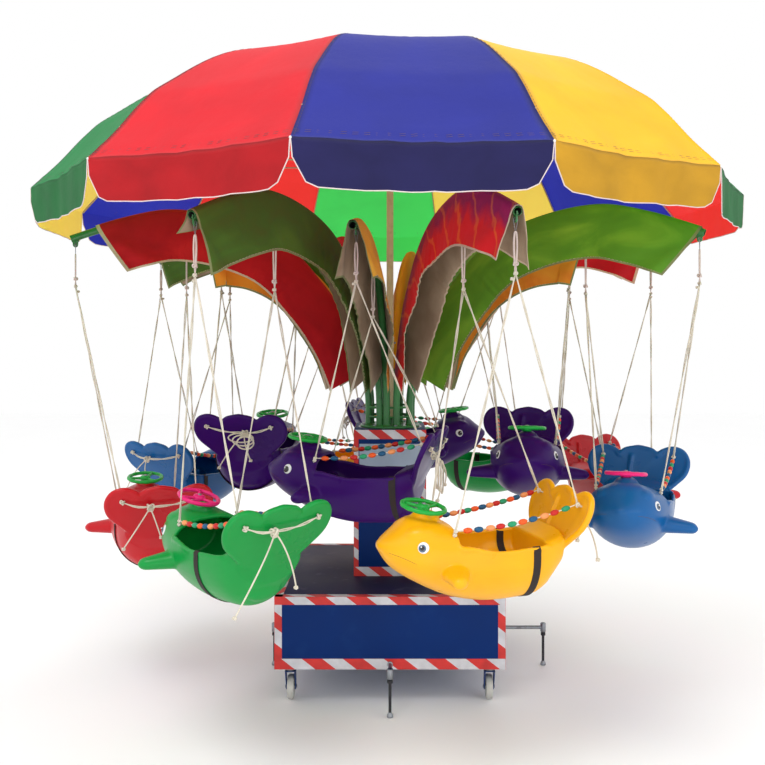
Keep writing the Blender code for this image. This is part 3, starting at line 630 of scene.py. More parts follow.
def build_umbrella_frame():
    shape = Shape()
    hub_top = RIB_PROFILE[0][1] * CANOPY_RADIUS - 0.004
    shape.lathe([(r, hub_top - down) for r, down in (
        (0.018, 0.060), (0.024, 0.058), (0.024, 0.030), (0.040, 0.026), (0.042, 0.010),
        (0.034, 0.004), (0.006, 0.003))], 28)
    for rib in range(PANELS):
        angle = radians(FIRST_RIB_ANGLE + 30.0 * rib)

        def under(share, down, inward=0.0):
            radius, height = rib_radius_height(share)
            return on_rim(radius - inward, height - down, angle)
        shares = [0.03 + 0.965 * k / 24 for k in range(25)]
        shape.tube([under(share, 0.0068, 0.0035 * share) for share in shares], 0.0042, 8)
        # clips that hold the cloth to the rib, and the rib's ball tip
        for share in (0.35, 0.6, 0.8):
            shape.ball(under(share, 0.009), (0.007, 0.007, 0.006), 0, steps=8)
        shape.ball(under(1.0, 0.003, 0.002), 0.0054, 1, steps=10)
        # stretcher from the runner on the mast to the rib
        shape.tube([on_rim(0.030, 2.520, angle), under(0.50, 0.010)], 0.0034, 6)
    shape.lathe(((0.0178, 2.495), (0.036, 2.498), (0.038, 2.510), (0.036, 2.532),
                 (0.0178, 2.536)), 24)
    shape.place("umbrella_frame", [MAST_PAINT, TIP_WHITE], "rotor", ("umbrella_ribs",),
                "mast_paint")
    mast = Shape()
    top = hub_top - 0.060
    mast.lathe(((0.0175, FLANGE_TOP + 0.0003), (0.0175, 1.60), (0.0205, 1.602), (0.0205, 1.66),
                (0.0175, 1.662), (0.0175, 2.10), (0.0170, 2.102), (0.0170, top)), 32)
    mast.ball((0.022, 0.0, 1.63), (0.008, 0.006, 0.006), 1, steps=10)
    mast.place("umbrella_mast", [MAST_PAINT, STEEL], "rotor", ("mast",), "mast_paint")


# Arms

def pipe_path(points):
    return [Vector((0.0, -p.x, p.y)) for p in smooth_path([(r, z, 0) for r, z in points], 5)]


def height_at(points, radius):
    for low, high in zip(points, points[1:]):
        if low[0] <= radius <= high[0] and high[0] > low[0]:
            return low[1] + (high[1] - low[1]) * (radius - low[0]) / (high[0] - low[0])
    return points[-1][1]


def add_arm(shape, points, hooks, angle):
    """One arched pipe with a rolled open end, a weld bead at its foot and two hook tabs."""
    turn = spin(angle)
    path = [turn @ p for p in pipe_path(points)]
    shape.tube(path, PIPE_RADIUS, 18, 0, caps=False)
    end = path[-1]
    along = (end - path[-2]).normalized()
    side = along.orthogonal().normalized()
    other = along.cross(side)

    def ring(radius, back):
        return [end - along * back + radius * (c * side + s * other) for c, s in around(18)]
    shape.grid([ring(PIPE_RADIUS, 0.0), ring(PIPE_RADIUS - 0.0012, -0.0010),
                ring(PIPE_RADIUS - 0.0024, 0.0)], 0, closed=True)
    # the bore, lined near black down to a disc 70 mm in: painted shade
    shape.grid([ring(PIPE_RADIUS - 0.0024, 0.0), ring(PIPE_RADIUS - 0.0026, 0.070),
                ring(0.001, 0.071)], 1, closed=True)
    shape.lathe(((PIPE_RADIUS, 0.006), (PIPE_RADIUS + 0.004, 0.002), (PIPE_RADIUS + 0.005, 0.0),
                 (PIPE_RADIUS, 0.0)), 18, 0, turn @ Matrix.Translation((0, -points[0][0],
                                                                       FLANGE_TOP + 0.0003)))
    for index, radius in enumerate(hooks):
        low = height_at(points, radius) - HOOK_DROP
        place = turn @ Matrix.Translation((0, -radius, low))
        # a plate with rounded foot, its eye and the bead that welds it on
        outline = [(0.012 * cos(a), 0.012 + 0.012 * sin(a))
                   for a in [pi + pi * k / 10 for k in range(11)]] + [(0.014, 0.040),
                                                                      (-0.014, 0.040)]
        rings = [[place @ Vector((x, y, z)) for y, z in outline] for x in (-0.003, 0.003)]
        shape.grid(rings, 0, closed=True, caps=True)
        shape.tube([place @ Vector((0, 0.0065 * c, 0.012 + 0.0065 * s))
                    for c, s in around(12)], 0.0036, 6, 2, closed=True)
        shape.tube([place @ Vector((0, -0.016, 0.0300)), place @ Vector((0, 0.016, 0.0300))],
                   0.0042, 6, 0)


def build_arms():
    for n in range(4):
        shape = Shape()
        add_arm(shape, SHORT_PIPE, RINGS["inner"][2], SHORT_ANGLES[n])
        for turn in LONG_ANGLES[2 * n:2 * n + 2]:
            add_arm(shape, LONG_PIPE, RINGS["outer"][2], turn)
        # parts of the ring ties that hold the bundle
        first, last = SHORT_ANGLES[n], LONG_ANGLES[2 * n + 1] + 19.0
        for level in (1.262, 1.310):
            shape.tube([on_rim(0.110, level, radians(first + (last - first) * k / 16))
                        for k in range(17)], 0.006, 8, 0)
        shape.place("arms_" + str(n + 1), [PIPE_GREEN, BORE_SHADE, STEEL], "rotor",
                    ("arm_group_" + str(n + 1),), "arm_paint")
    flange = Shape()
    low = FLANGE_TOP - 0.012
    flange.lathe(((0.146, low), (0.150, low + 0.003), (0.150, low + 0.009),
                  (0.147, low + 0.012), (0.030, low + 0.012)), 48)
    for k in range(8):
        a = 2 * pi * k / 8 + 0.2
        flange.lathe(((0.009, 0.0), (0.009, 0.005), (0.007, 0.0065)), 6, 1,
                     Matrix.Translation((0.136 * cos(a), 0.136 * sin(a), low + 0.012)))
    flange.lathe(((0.034, 0.0), (0.034, 0.030), (0.031, 0.033), (0.0176, 0.033)), 24, 0,
                 Matrix.Translation((0, 0, low + 0.012)))
    flange.place("column_plate", [PIPE_GREEN, STEEL], "rotor", ("column_flange",), "arm_paint")


# Arm covers

def cover_cloth(name, *tones, paint=None):
    """Cloth for an arm's cover: its tones follow one another, darkest to lightest, along stretched
    streaks of noise.
    """
    return cloth(name, [((k + 0.5) / len(tones), lin(*tone)) for k, tone in enumerate(tones)],
                 2.6, 7.0, streak=0.8, paint=paint)


def red_magenta_streaks(look):
    """A red wall that fades into a magenta crown and a lighter magenta on the other wall, with
    orange diagonal streaks.
    """
    crown = lin(146, 14, 78)
    across = look.node("SeparateXYZ", {"Vector": look.uv}, "X")
    pushed = look.math("MULTIPLY_ADD", look.noise(look.uv, 9.0, 4.0), 0.16, across)
    base = look.ramp(look.spread(pushed, (-0.045, 0.065), (0.0, 1.0)),
                     ((0.0, lin(220, 24, 34)), (0.55, crown), (1.0, shade(crown, 1.3))))
    lines = look.node("TexWave", {"Vector": look.uv, "Scale": 3.4, "Distortion": 3.0,
                                  "Detail": 3.0, "Detail Scale": 2.2}, "Fac",
                      bands_direction="DIAGONAL")
    return look.mix(look.spread(lines, (0.93, 1.0), (0.0, 0.38)), base, lin(244, 134, 40))


# Cloth, slot and hem of each look
COVER_LOOKS = {
    "magenta": (cover_cloth("cover_magenta", paint=red_magenta_streaks), "cover_red", HEM),
    "red": (cover_cloth("cover_red_dark", (152, 14, 26), (184, 20, 32), (214, 36, 42)),
            "cover_red", HEM),
    "olive": (cover_cloth("cover_olive", (72, 122, 34), (92, 148, 40), (140, 186, 58)),
              "cover_green", HEM_OLIVE),
    "moss": (cover_cloth("cover_moss", (78, 80, 30), (66, 100, 32), (84, 118, 38)),
             "cover_green", HEM_OLIVE),
    "amber": (cover_cloth("cover_amber", (204, 138, 34), (226, 160, 44), (236, 182, 66)),
              "cover_yellow", HEM_OLIVE),
    "orange": (cover_cloth("cover_orange", (214, 96, 32), (226, 132, 40), (232, 158, 52)),
               "cover_yellow", HEM_OLIVE),
}
# Each cover's look, the lean of both walls, the radius and inward slant of its outer end,
# and each wall's share of the full drop: every strip lies askew on its pipe
COVERS = {
    "outer": (("magenta", 0.10, 1.545, 0.0, 1.03, 0.97), ("olive", 0.0, 1.515, 0.070, 1.04, 0.66),
              ("red", 0.0, 1.47, 0.03, 1.0, 0.85), ("olive", 0.0, 1.50, 0.02, 1.0, 0.9),
              ("red", 0.0, 1.46, 0.04, 0.95, 1.0), ("moss", 0.0, 1.50, 0.03, 0.9, 1.0),
              ("red", 0.0, 1.418, 0.057, 0.70, 1.03),
              ("moss", 0.0, 1.550, -0.060, 0.62, 1.05)),
    "inner": (("amber", 0.05, 0.985, 0.0, 1.0, 1.0), ("orange", 0.0, 0.96, 0.02, 1.0, 0.9),
              ("amber", 0.0, 0.97, 0.02, 0.95, 1.0), ("orange", 0.0, 0.96, 0.02, 0.9, 1.0)),
}
# How much shorter each wall hangs at the outer end than at its middle
TIP_CUTS = {"outer_1": (0.20, 0.0), "outer_8": (0.62, 0.08)}
PIPE_STEPS = 8
COVER_START = 2 * PIPE_STEPS + 5
COVER_DEPTH = 0.222
COVER_HALF = 0.0775
COVER_WALL = COVER_DEPTH - 0.004
HEM_WIDE = 0.007
# The share of a wall that lies over the pipe, and the angle that it turns there
OVER_PIPE, PIPE_TURN = 0.14, radians(80)
# Shares of the way over the pipe and down to the hem
DOWN_WALL = (0.0, 0.06, 0.14, 0.24, 0.34, 0.44, 0.54, 0.64, 0.74, 0.83, 0.90,
             1.0 - HEM_WIDE / COVER_WALL, 1.0)


def build_cover(ring, n, look, lean, tip, end_slant, *drops):
    """A draped strip over the pipe with a hem, folds and a level foot."""
    name = ring + "_" + str(n + 1)
    turn = spin(RINGS[ring][0][n])
    cloth_look, slot, hem = COVER_LOOKS[look]
    seed = 1.0 + n * 1.37 + (20 if ring == "inner" else 0)
    path = smooth_path([(r, z, 0) for r, z in RINGS[ring][1]], PIPE_STEPS)
    for _ in range(2):
        path.append(path[-1] + (path[-1] - path[-2]).normalized() * 0.03)
    last = max(k for k in range(len(path) - 1) if path[k].x <= tip + 0.004)
    stations, total = [], 0.0
    for k in range(COVER_START, last + 1):
        if stations:
            total += (path[k] - path[k - 1]).length
        stations.append((path[k], (path[k + 1] - path[k - 1]).normalized(), total))
    rows, uvs = [], []
    for spot, along, at in stations:
        share = at / total
        up = Vector((-along.y, along.x, 0))
        rise = min(1.0, at / 0.42)
        rise = rise * rise * (3 - 2 * rise)
        half = COVER_HALF * (0.56 + 0.44 * rise)
        depth = COVER_DEPTH * (0.93 + 0.07 * rise)
        crown = 0.0185 + 0.0045 * rise
        # folds fan out from the tip of the pipe, gathers are strongest at the middle
        bend = 1.0 - min(1.0, abs(share - 0.42) / 0.5)
        fan = max(0.0, (share - 0.55) / 0.45)
        row, uv = [], []
        for side, drop, cut in zip((-1, 1), drops, TIP_CUTS.get(name, (0.0, 0.0))):
            # the foot keeps its full drop, so that it stays level
            drop = 1.0 + (drop - 1.0) * rise
            drop *= 1.0 - cut * max(0.0, (share - 0.62) / 0.38) ** 1.4
            part = []
            for s in DOWN_WALL:
                below = max(0.0, (s - OVER_PIPE) / (1.0 - OVER_PIPE))
                if s < OVER_PIPE:
                    a = min(1.0, s / OVER_PIPE) * PIPE_TURN
                    across = crown * sin(a)
                    normal = crown * cos(a) + 0.001
                else:
                    across = (crown * sin(PIPE_TURN)
                              + (half - crown) * min(1.0, drop * drop) * below ** 0.92)
                    normal = crown * cos(PIPE_TURN) - (depth * drop + 0.002) * below
                gather = sin(at * 2 * pi / 0.058 + side * 1.3 + seed * 2.1
                             + 2.4 * noise.noise(Vector((at * 7.0, side * 2.0, seed))))
                swing = noise.noise(Vector((at * 4.2 + seed * 5.0, side * 3.0, s * 1.2)))
                small = noise.noise(Vector((at * 19.0, s * 7.0 + side * 5.0, seed * 1.7)))
                around_tip = atan2(below * depth, max(0.01, total - at + 0.02))
                radial = sin(around_tip * 9.0 + seed * 1.9 + side)
                away = sqrt((below * depth) ** 2 + (total - at) ** 2)
                folds = (below ** 1.4 * (0.0040 * gather * bend + 0.015 * swing)
                         + 0.0026 * small * min(1.0, below * 4)
                         + 0.0075 * radial * fan * below * min(1.0, away / 0.12))
                across = side * (across + folds) + lean * below * 0.10 * rise
                slant = end_slant * below ** 1.2 * max(0.0, (share - 0.75) / 0.25)
                # the foot is cut level
                lift = (1 - share / 0.12) * 0.018 * (1 - 2 * below) if share < 0.12 else 0.0
                here = spot + up * normal - along * slant + along * lift
                part.append((Vector((across, -here.x, here.y)), (side * s * COVER_WALL, at)))
            part = part[::-1] if side < 0 else part[1:]
            row += [point for point, _ in part]
            uv += [pair for _, pair in part]
        rows.append(row)
        uvs.append(uv)
    wide = len(rows[0])

    def mark(j, k):
        return 1 if k in (0, wide - 2) or j >= len(rows) - 2 else 0
    shape = Shape()
    shape.grid(rows, mark, uvs, flip=True)
    shape.thicken(0.0016, lambda m: 1 if m == 1 else 2)
    made = shape.place("arm_cover_" + name, [cloth_look, hem, LINING], "rotor",
                       ("cover_" + name,), slot, turn, sharp=60)
    # thread along the hem on both walls
    seam = Shape()
    for column, out in ((1, -0.0008), (wide - 2, 0.0008)):
        for a, b in zip(rows, rows[1:-3]):
            seam.tube([a[column].lerp(b[column], s) + Vector((out, 0, 0)) for s in (0.15, 0.75)],
                      0.0008, 4)
    stitches = seam.place("arm_cover_" + name + "_stitches", [HEM], "rotor", turn=turn, sharp=0)


def build_covers():
    for ring, covers in COVERS.items():
        for n, cover in enumerate(covers):
            build_cover(ring, n, *cover)


# Seats

HULL_WALL = 0.013
HULL_VOXEL = 0.0042
# Share of the faces that stays after the remesh
HULL_KEPT = 0.16
LIP_INSET, LIP_RADIUS = 0.0075, 0.0090
LIP_START, LIP_LENGTH = -0.180, 0.345
TOY_RIM = 0.080
STRAP_HALF, STRAP_THICK = 0.0145, 0.0016


def hull_section(t):
    """Keel, widest level, top, half width and roundness at a station."""
    for n in range(len(SECTION_PATH) - 1):
        low, high = SECTION_PATH[n], SECTION_PATH[n + 1]
        if low[0] <= t <= high[0]:
            share = (t - low[0]) / (high[0] - low[0])
            return [a + (b - a) * share for a, b in zip(low[1:], high[1:])]
    return list(SECTION_PATH[-1 if t > 0 else 0][1:])


def section_path():
    """The hull's sections on a smooth curve, three numbers at a time."""
    first = smooth_path([(s[0], s[1], s[2]) for s in HULL_SECTIONS], 8)
    second = smooth_path([(s[3], s[4], s[5] / 20) for s in HULL_SECTIONS], 8)
    return [(a.x, a.y, a.z, b.x, b.y, b.z * 20) for a, b in zip(first, second)]


SECTION_PATH = section_path()


def hull_ring(t, inset=0.0, roof=None, floor=None, sides=40):
    keel, level, top, half, power = hull_section(t)
    keel, half, top = max(keel + inset, floor or -1), half - inset, top - inset
    ring = []
    for k in range(sides // 2 + 1):
        a = pi + pi * k / (sides // 2)
        ring.append(Vector((t, half * cos(a), level + (level - keel) * sin(a))))
    if roof is not None:
        return ring + [Vector((t, half, roof)), Vector((t, -half, roof))]
    for k in range(1, sides // 2):
        a = pi * k / (sides // 2)
        wide = abs(cos(a)) ** (2 / power) * (1 if cos(a) > 0 else -1)
        ring.append(Vector((t, half * wide, level + (top - level) * sin(a) ** (2 / power))))
    return ring


def fan_place():
    up = (FAN_HEAD - FAN_FOOT).normalized()
    across = Vector((0, 1, 0))
    back = across.cross(up)
    return Matrix.Translation(FAN_FOOT) @ Matrix((across, up, back)).transposed().to_4x4()


def closed_mesh(build):
    """A temporary closed mesh object from a function that fills a Shape."""
    shape = Shape()
    build(shape)
    mesh = shape.mesh("part", 0.00001)
    bm = bmesh.new()
    bm.from_mesh(mesh)
    bmesh.ops.recalc_face_normals(bm, faces=bm.faces)
    bm.to_mesh(mesh)
    bm.free()
    made = bpy.data.objects.new("part", mesh)
    bpy.context.scene.collection.objects.link(made)
    return made


def applied(source):
    """The source's mesh with its modifiers applied; the source is removed."""
    bpy.context.view_layer.update()
    evaluated = source.evaluated_get(bpy.context.evaluated_depsgraph_get())
    mesh = bpy.data.meshes.new_from_object(evaluated)
    bpy.data.objects.remove(source, do_unlink=True)
    return mesh


def cut_away(body, fill, overlapping=False):
    """The body's mesh without a closed form; the body is removed."""
    tool = closed_mesh(fill)
    cut = body.modifiers.new("cut", "BOOLEAN")
    cut.operation = "DIFFERENCE"
    cut.object = tool
    cut.use_self = overlapping
    mesh = applied(body)
    bpy.data.objects.remove(tool, do_unlink=True)
    return mesh


def hull_body(shape):
    stations = [-0.440 + 0.676 * k / 64 for k in range(65)]
    rings = [hull_ring(t) for t in stations]
    tip = sum(rings[0], Vector()) / len(rings[0])
    nose = [[p.lerp(tip, s) - Vector((d, 0, 0)) for p in rings[0]]
            for s, d in ((0.55, 0.006), (0.25, 0.0035))]
    shape.grid(nose + rings, 0, closed=True, caps=True)


def hull_extras(shape):
    """Fan, rolled rim, folds, fins, neck and brow, as overlapping closed forms."""
    place = fan_place()
    half = smooth_path([(x, y, 0) for x, y in FAN_OUTLINE], 5)
    full = half + [Vector((-p.x, p.y, 0)) for p in half[-2::-1]]
    centre = Vector((0, 0.235, 0))
    rows = []
    for side in (-1, 1):
        layers = []
        for share in (1.0, 0.93, 0.8, 0.62, 0.42, 0.2, 0.02):
            dish = 0.010 * (1 - share * share)
            spots = [centre.lerp(p, share * 0.985) for p in full]
            layers.append([place @ Vector((p.x, p.y, side * 0.0085 + dish)) for p in spots])
        rows += layers if side > 0 else layers[::-1]
    shape.grid(rows, 0, closed=True, caps=True)
    rim = [Vector((p.x * 0.945, 0.235 + (p.y - 0.235) * 0.935, 0)) for p in full]
    shape.tube([place @ p for p in rim], 0.0125, 12, 0)
    # one soft fold down the dished front
    fold = smooth_path([(0.030, 0.330, -0.004), (0.040, 0.24, -0.002), (0.034, 0.15, 0.0)], 6)
    shape.tube([place @ p for p in fold], [0.010 - 0.0004 * k for k in range(len(fold))], 10, 0)
    for side in (-1, 1):
        # fin, rounded at its end
        rings = []
        for k in range(15):
            s = k / 14
            reach = 0.110 + (0.288 - 0.110) * s
            swell = 1.0 if s < 0.86 else sqrt(max(0.02, 1 - ((s - 0.86) / 0.145) ** 2))
            long = (0.070 - 0.045 * s ** 0.8) * swell
            tall = (0.044 - 0.023 * s ** 0.9) * swell
            at = Vector((-0.186 - 0.041 * s, side * reach, 0.146 - 0.008 * s))
            rings.append([at + Vector((long * c, 0, tall * sn)) for c, sn in around(16)])
        shape.grid(rings, 0, closed=True, caps=True)
        # brow over the eye
        shape.ball((-0.296, side * 0.070, 0.270), (0.070, 0.050, 0.038), 0, steps=20)
    shape.ball((-0.262, 0, 0.316), (0.058, 0.050, 0.030), 0, steps=18)
    # rolled gunwale round the cockpit
    lip = []
    for side in (1, -1):
        edge = []
        for k in range(17):
            t = LIP_START + LIP_LENGTH * k / 16
            _, level, top, wide, power = hull_section(t)
            reach = wide - LIP_INSET
            high = level + (top - level) * (1 - (reach / wide) ** power) ** (1 / power)
            edge.append(Vector((t, side * reach, high - 0.004)))
        lip.append(edge)
    arch = [p for p in hull_ring(LIP_START, LIP_INSET)[20:] if abs(p.y) < 0.158]
    near, far = lip if arch[0].y >= 0 else lip[::-1]
    for line in (*lip, [near[0]] + arch + [far[0]]):
        shape.tube(line, LIP_RADIUS, 12, 0)
    # heel pad under the tail
    shape.ball((0.185, 0, 0.085), (0.040, 0.085, 0.050), 0, steps=16)


def build_hull_mesh():
    """The seat's shell once, joined, remeshed, smoothed and thinned out."""
    body = closed_mesh(hull_body)

    def well(shape, more=0.0):
        stations = [-0.178 + 0.336 * k / 24 for k in range(25)]
        rings = []
        for t in stations:
            floor = 0.046 - 0.029 * min(1.0, max(0.0, (t + 0.178) / 0.10))
            if t > 0.0:
                floor = 0.017 + 0.085 * min(1.0, t / 0.05) ** 2
            rings.append(hull_ring(t, HULL_WALL + more, 0.5, floor))
        shape.grid(rings, 0, closed=True, caps=True)

    def legroom(shape):
        stations = [-0.335 + 0.185 * k / 12 for k in range(13)]
        shape.grid([hull_ring(t, HULL_WALL) for t in stations], 0, closed=True, caps=True)
    for fill in (well, legroom):
        body = bpy.data.objects.new("body", cut_away(body, fill))
        bpy.context.scene.collection.objects.link(body)
    # the extras overlap each other, and are kept out of the cockpit
    mesh = cut_away(closed_mesh(hull_extras), lambda shape: well(shape, 0.004), True)
    bm = bmesh.new()
    bm.from_mesh(body.data)
    bm.from_mesh(mesh)
    bm.to_mesh(body.data)
    bm.free()
    remesh = body.modifiers.new("remesh", "REMESH")
    remesh.mode = "VOXEL"
    remesh.voxel_size = HULL_VOXEL
    soften = body.modifiers.new("soften", "SMOOTH")
    soften.factor = 0.5
    soften.iterations = 12
    thin = body.modifiers.new("thin", "DECIMATE")
    thin.ratio = HULL_KEPT
    mesh = applied(body)
    # thinning leaves four doubled triangles loose inside the head; a mesh with doubled
    # faces isn't valid, and its copies are exported wrongly
    bm = bmesh.new()
    bm.from_mesh(mesh)
    loose = [v for v in bm.verts if len(v.link_edges) < 3]
    bmesh.ops.delete(bm, geom=loose, context="VERTS")
    bm.to_mesh(mesh)
    bm.free()
    mesh.polygons.foreach_set("use_smooth", [True] * len(mesh.polygons))
    mesh.name = "fish_hull"
    return mesh


def surface_hit(tree, origin, aim):
    along = (Vector(aim) - Vector(origin)).normalized()
    spot, normal, _, _ = tree.ray_cast(Vector(origin), along)
    return spot, normal


def add_eye(shape, tree, side, dark_ring):
    spot, normal = surface_hit(tree, (-0.330, side * 0.40, 0.262), (-0.302, 0.0, 0.225))
    turn = normal.to_track_quat("Z", "Y").to_matrix()
    shape.ball(spot, (0.0205, 0.0205, 0.0048), 0, turn, 28)
    lift = normal * 0.0032
    look = Vector((-0.004, 0, -0.002))
    shape.ball(spot + lift + look, (0.0135, 0.0135, 0.0040), 2 if dark_ring else 1, turn, 24)
    shape.ball(spot + lift * 1.5 + look, (0.0088, 0.0088, 0.0042), 2, turn, 20)
    # a small white dot on the pupil: a painted highlight
    shape.ball(spot + lift * 2.0 + look + Vector((-0.004, 0, 0.005)),
               (0.0030, 0.0030, 0.0030), 0, turn, 10)


def add_face(shape, tree):
    """Mouth line on both sides, projected on the hull: a thin dark tube, painted shade in place of
    a groove.
    """
    for side in (-1, 1):
        line = []
        for k in range(19):
            s = k / 18
            t = -0.438 + 0.125 * s
            z = 0.214 - 0.044 * s ** 1.2 + 0.004 * sin(pi * s)
            spot, normal = surface_hit(tree, (t - 0.02, side * 0.35, z), (t + 0.005, 0.0, z))
            if spot is not None:
                line.append(spot - normal * 0.0006)
        radii = [0.0010 * min(1.0, 4 * min(k + 1, len(line) - k) / len(line))
                 for k in range(len(line))]
        shape.tube(line, radii, 6, 3)


def strap_shape(tree, t):
    """Webbing round the hull and down inside the cockpit."""
    shape = Shape()
    centre = Vector((t, 0, 0.185))
    outer = []
    for k in range(45):
        a = radians(8 - 196 * k / 44)
        aim = Vector((0, cos(a), sin(a)))
        spot, normal = surface_hit(tree, centre + aim * 0.6, centre)
        outer.append(spot + normal * 0.0012)
    inner = []
    high = Vector((t, 0, 0.200))
    for k in range(29):
        a = radians(-183 + 186 * k / 28)
        spot, normal = surface_hit(tree, high, high + Vector((0, cos(a), sin(a))))
        if spot is not None and abs(spot.x - t) < 0.01:
            inner.append(spot + normal * 0.0014)
    tops = []
    for side in (-1, 1):
        wide = hull_section(t)[3] - 0.007
        spot, _ = surface_hit(tree, (t, side * wide, 0.5), (t, side * wide, 0.1))
        tops.append(spot + Vector((0, 0, 0.0014)))
    loop = [tops[1]] + outer + [tops[0]] + inner
    count = len(loop)
    rows = []
    for n in range(count):
        step = (loop[(n + 1) % count] - loop[n - 1]).normalized()
        out = step.cross(Vector((1, 0, 0))).normalized() * -STRAP_THICK
        edge = Vector((STRAP_HALF, 0, 0))
        rows.append([loop[n] - edge, loop[n] + edge, loop[n] + edge + out, loop[n] - edge + out])
    rows.append(rows[0])
    shape.grid(rows, 0, closed=True)
    return shape


def wheel_shape():
    shape = Shape()
    place = Matrix.Translation(WHEEL_CENTRE) @ Matrix.Rotation(radians(8.0), 4, "Y")
    steps = 48
    rim = [place @ Vector((TOY_RIM * c, TOY_RIM * s, 0.0)) for c, s in around(steps)]
    radii = [0.0086 + 0.0006 * cos(2 * pi * k / steps * 12) for k in range(steps)]
    shape.tube(rim, radii, 12, 0, closed=True)
    for k in range(3):
        a = 2 * pi * k / 3 + 0.5
        spoke = [place @ Vector((r * cos(a), r * sin(a), -0.004 + 0.004 * (r / TOY_RIM)))
                 for r in (0.010, 0.03, 0.05, 0.076)]
        shape.tube(spoke, [0.010, 0.0072, 0.0065, 0.0078], 10, 0)
    shape.lathe(((0.004, -0.016), (0.022, -0.014), (0.025, -0.004), (0.024, 0.006),
                 (0.018, 0.010), (0.004, 0.011)), 24, 0, place)
    shape.lathe(((0.008, 0.009), (0.008, 0.013), (0.0055, 0.0150), (0.001, 0.0155)), 14, 1, place)
    foot = Vector((-0.262, 0, 0.318))
    shape.tube([foot, WHEEL_CENTRE - Vector((0, 0, 0.010))], [0.022, 0.016], 16, 0)
    return shape


# Ropes

def strands(shape, points, mark=0, gap=0.0026, radius=0.0024, turns=2.6, sides=6, start=0.0):
    """Two strands that wind slowly round a line."""
    points = [Vector(p) for p in points]
    total = sum((b - a).length for a, b in zip(points, points[1:]))
    steps = max(4, int(total * turns * 9))
    fine, at = [], [0.0]
    for a, b in zip(points, points[1:]):
        at.append(at[-1] + (b - a).length)
    for n in range(steps + 1):
        where = total * n / steps
        k = next((i for i in range(len(points) - 1) if where <= at[i + 1] + 1e-9),
                 len(points) - 2)
        span = max(1e-9, at[k + 1] - at[k])
        fine.append(points[k].lerp(points[k + 1], (where - at[k]) / span))
    along = (points[-1] - points[0]).normalized()
    side = along.orthogonal().normalized()
    other = along.cross(side)
    for phase in (0.0, pi):
        path = []
        for n, spot in enumerate(fine):
            a = start + phase + 2 * pi * turns * total * n / steps
            near = gap * (0.9 + 0.35 * sin(7.0 * total * n / steps + start))
            path.append(spot + near * (cos(a) * side + sin(a) * other))
        shape.tube(path, radius, sides, mark)


def knot(shape, centre, size=0.011, mark=0, along=(0, 0, 1), radius=0.0034):
    """A small overhand knot: a closed three-lobed winding."""
    turn = Vector(along).to_track_quat("Z", "Y").to_matrix()
    path = []
    for k in range(42):
        a = 2 * pi * k / 42
        path.append(Vector(centre) + turn @ (Vector((
            (sin(a) + 1.7 * sin(2 * a)) * 0.36, (cos(a) - 1.7 * cos(2 * a)) * 0.36,
            -sin(3 * a) * 0.55)) * size))
    shape.tube(path, radius, 7, mark, closed=True)


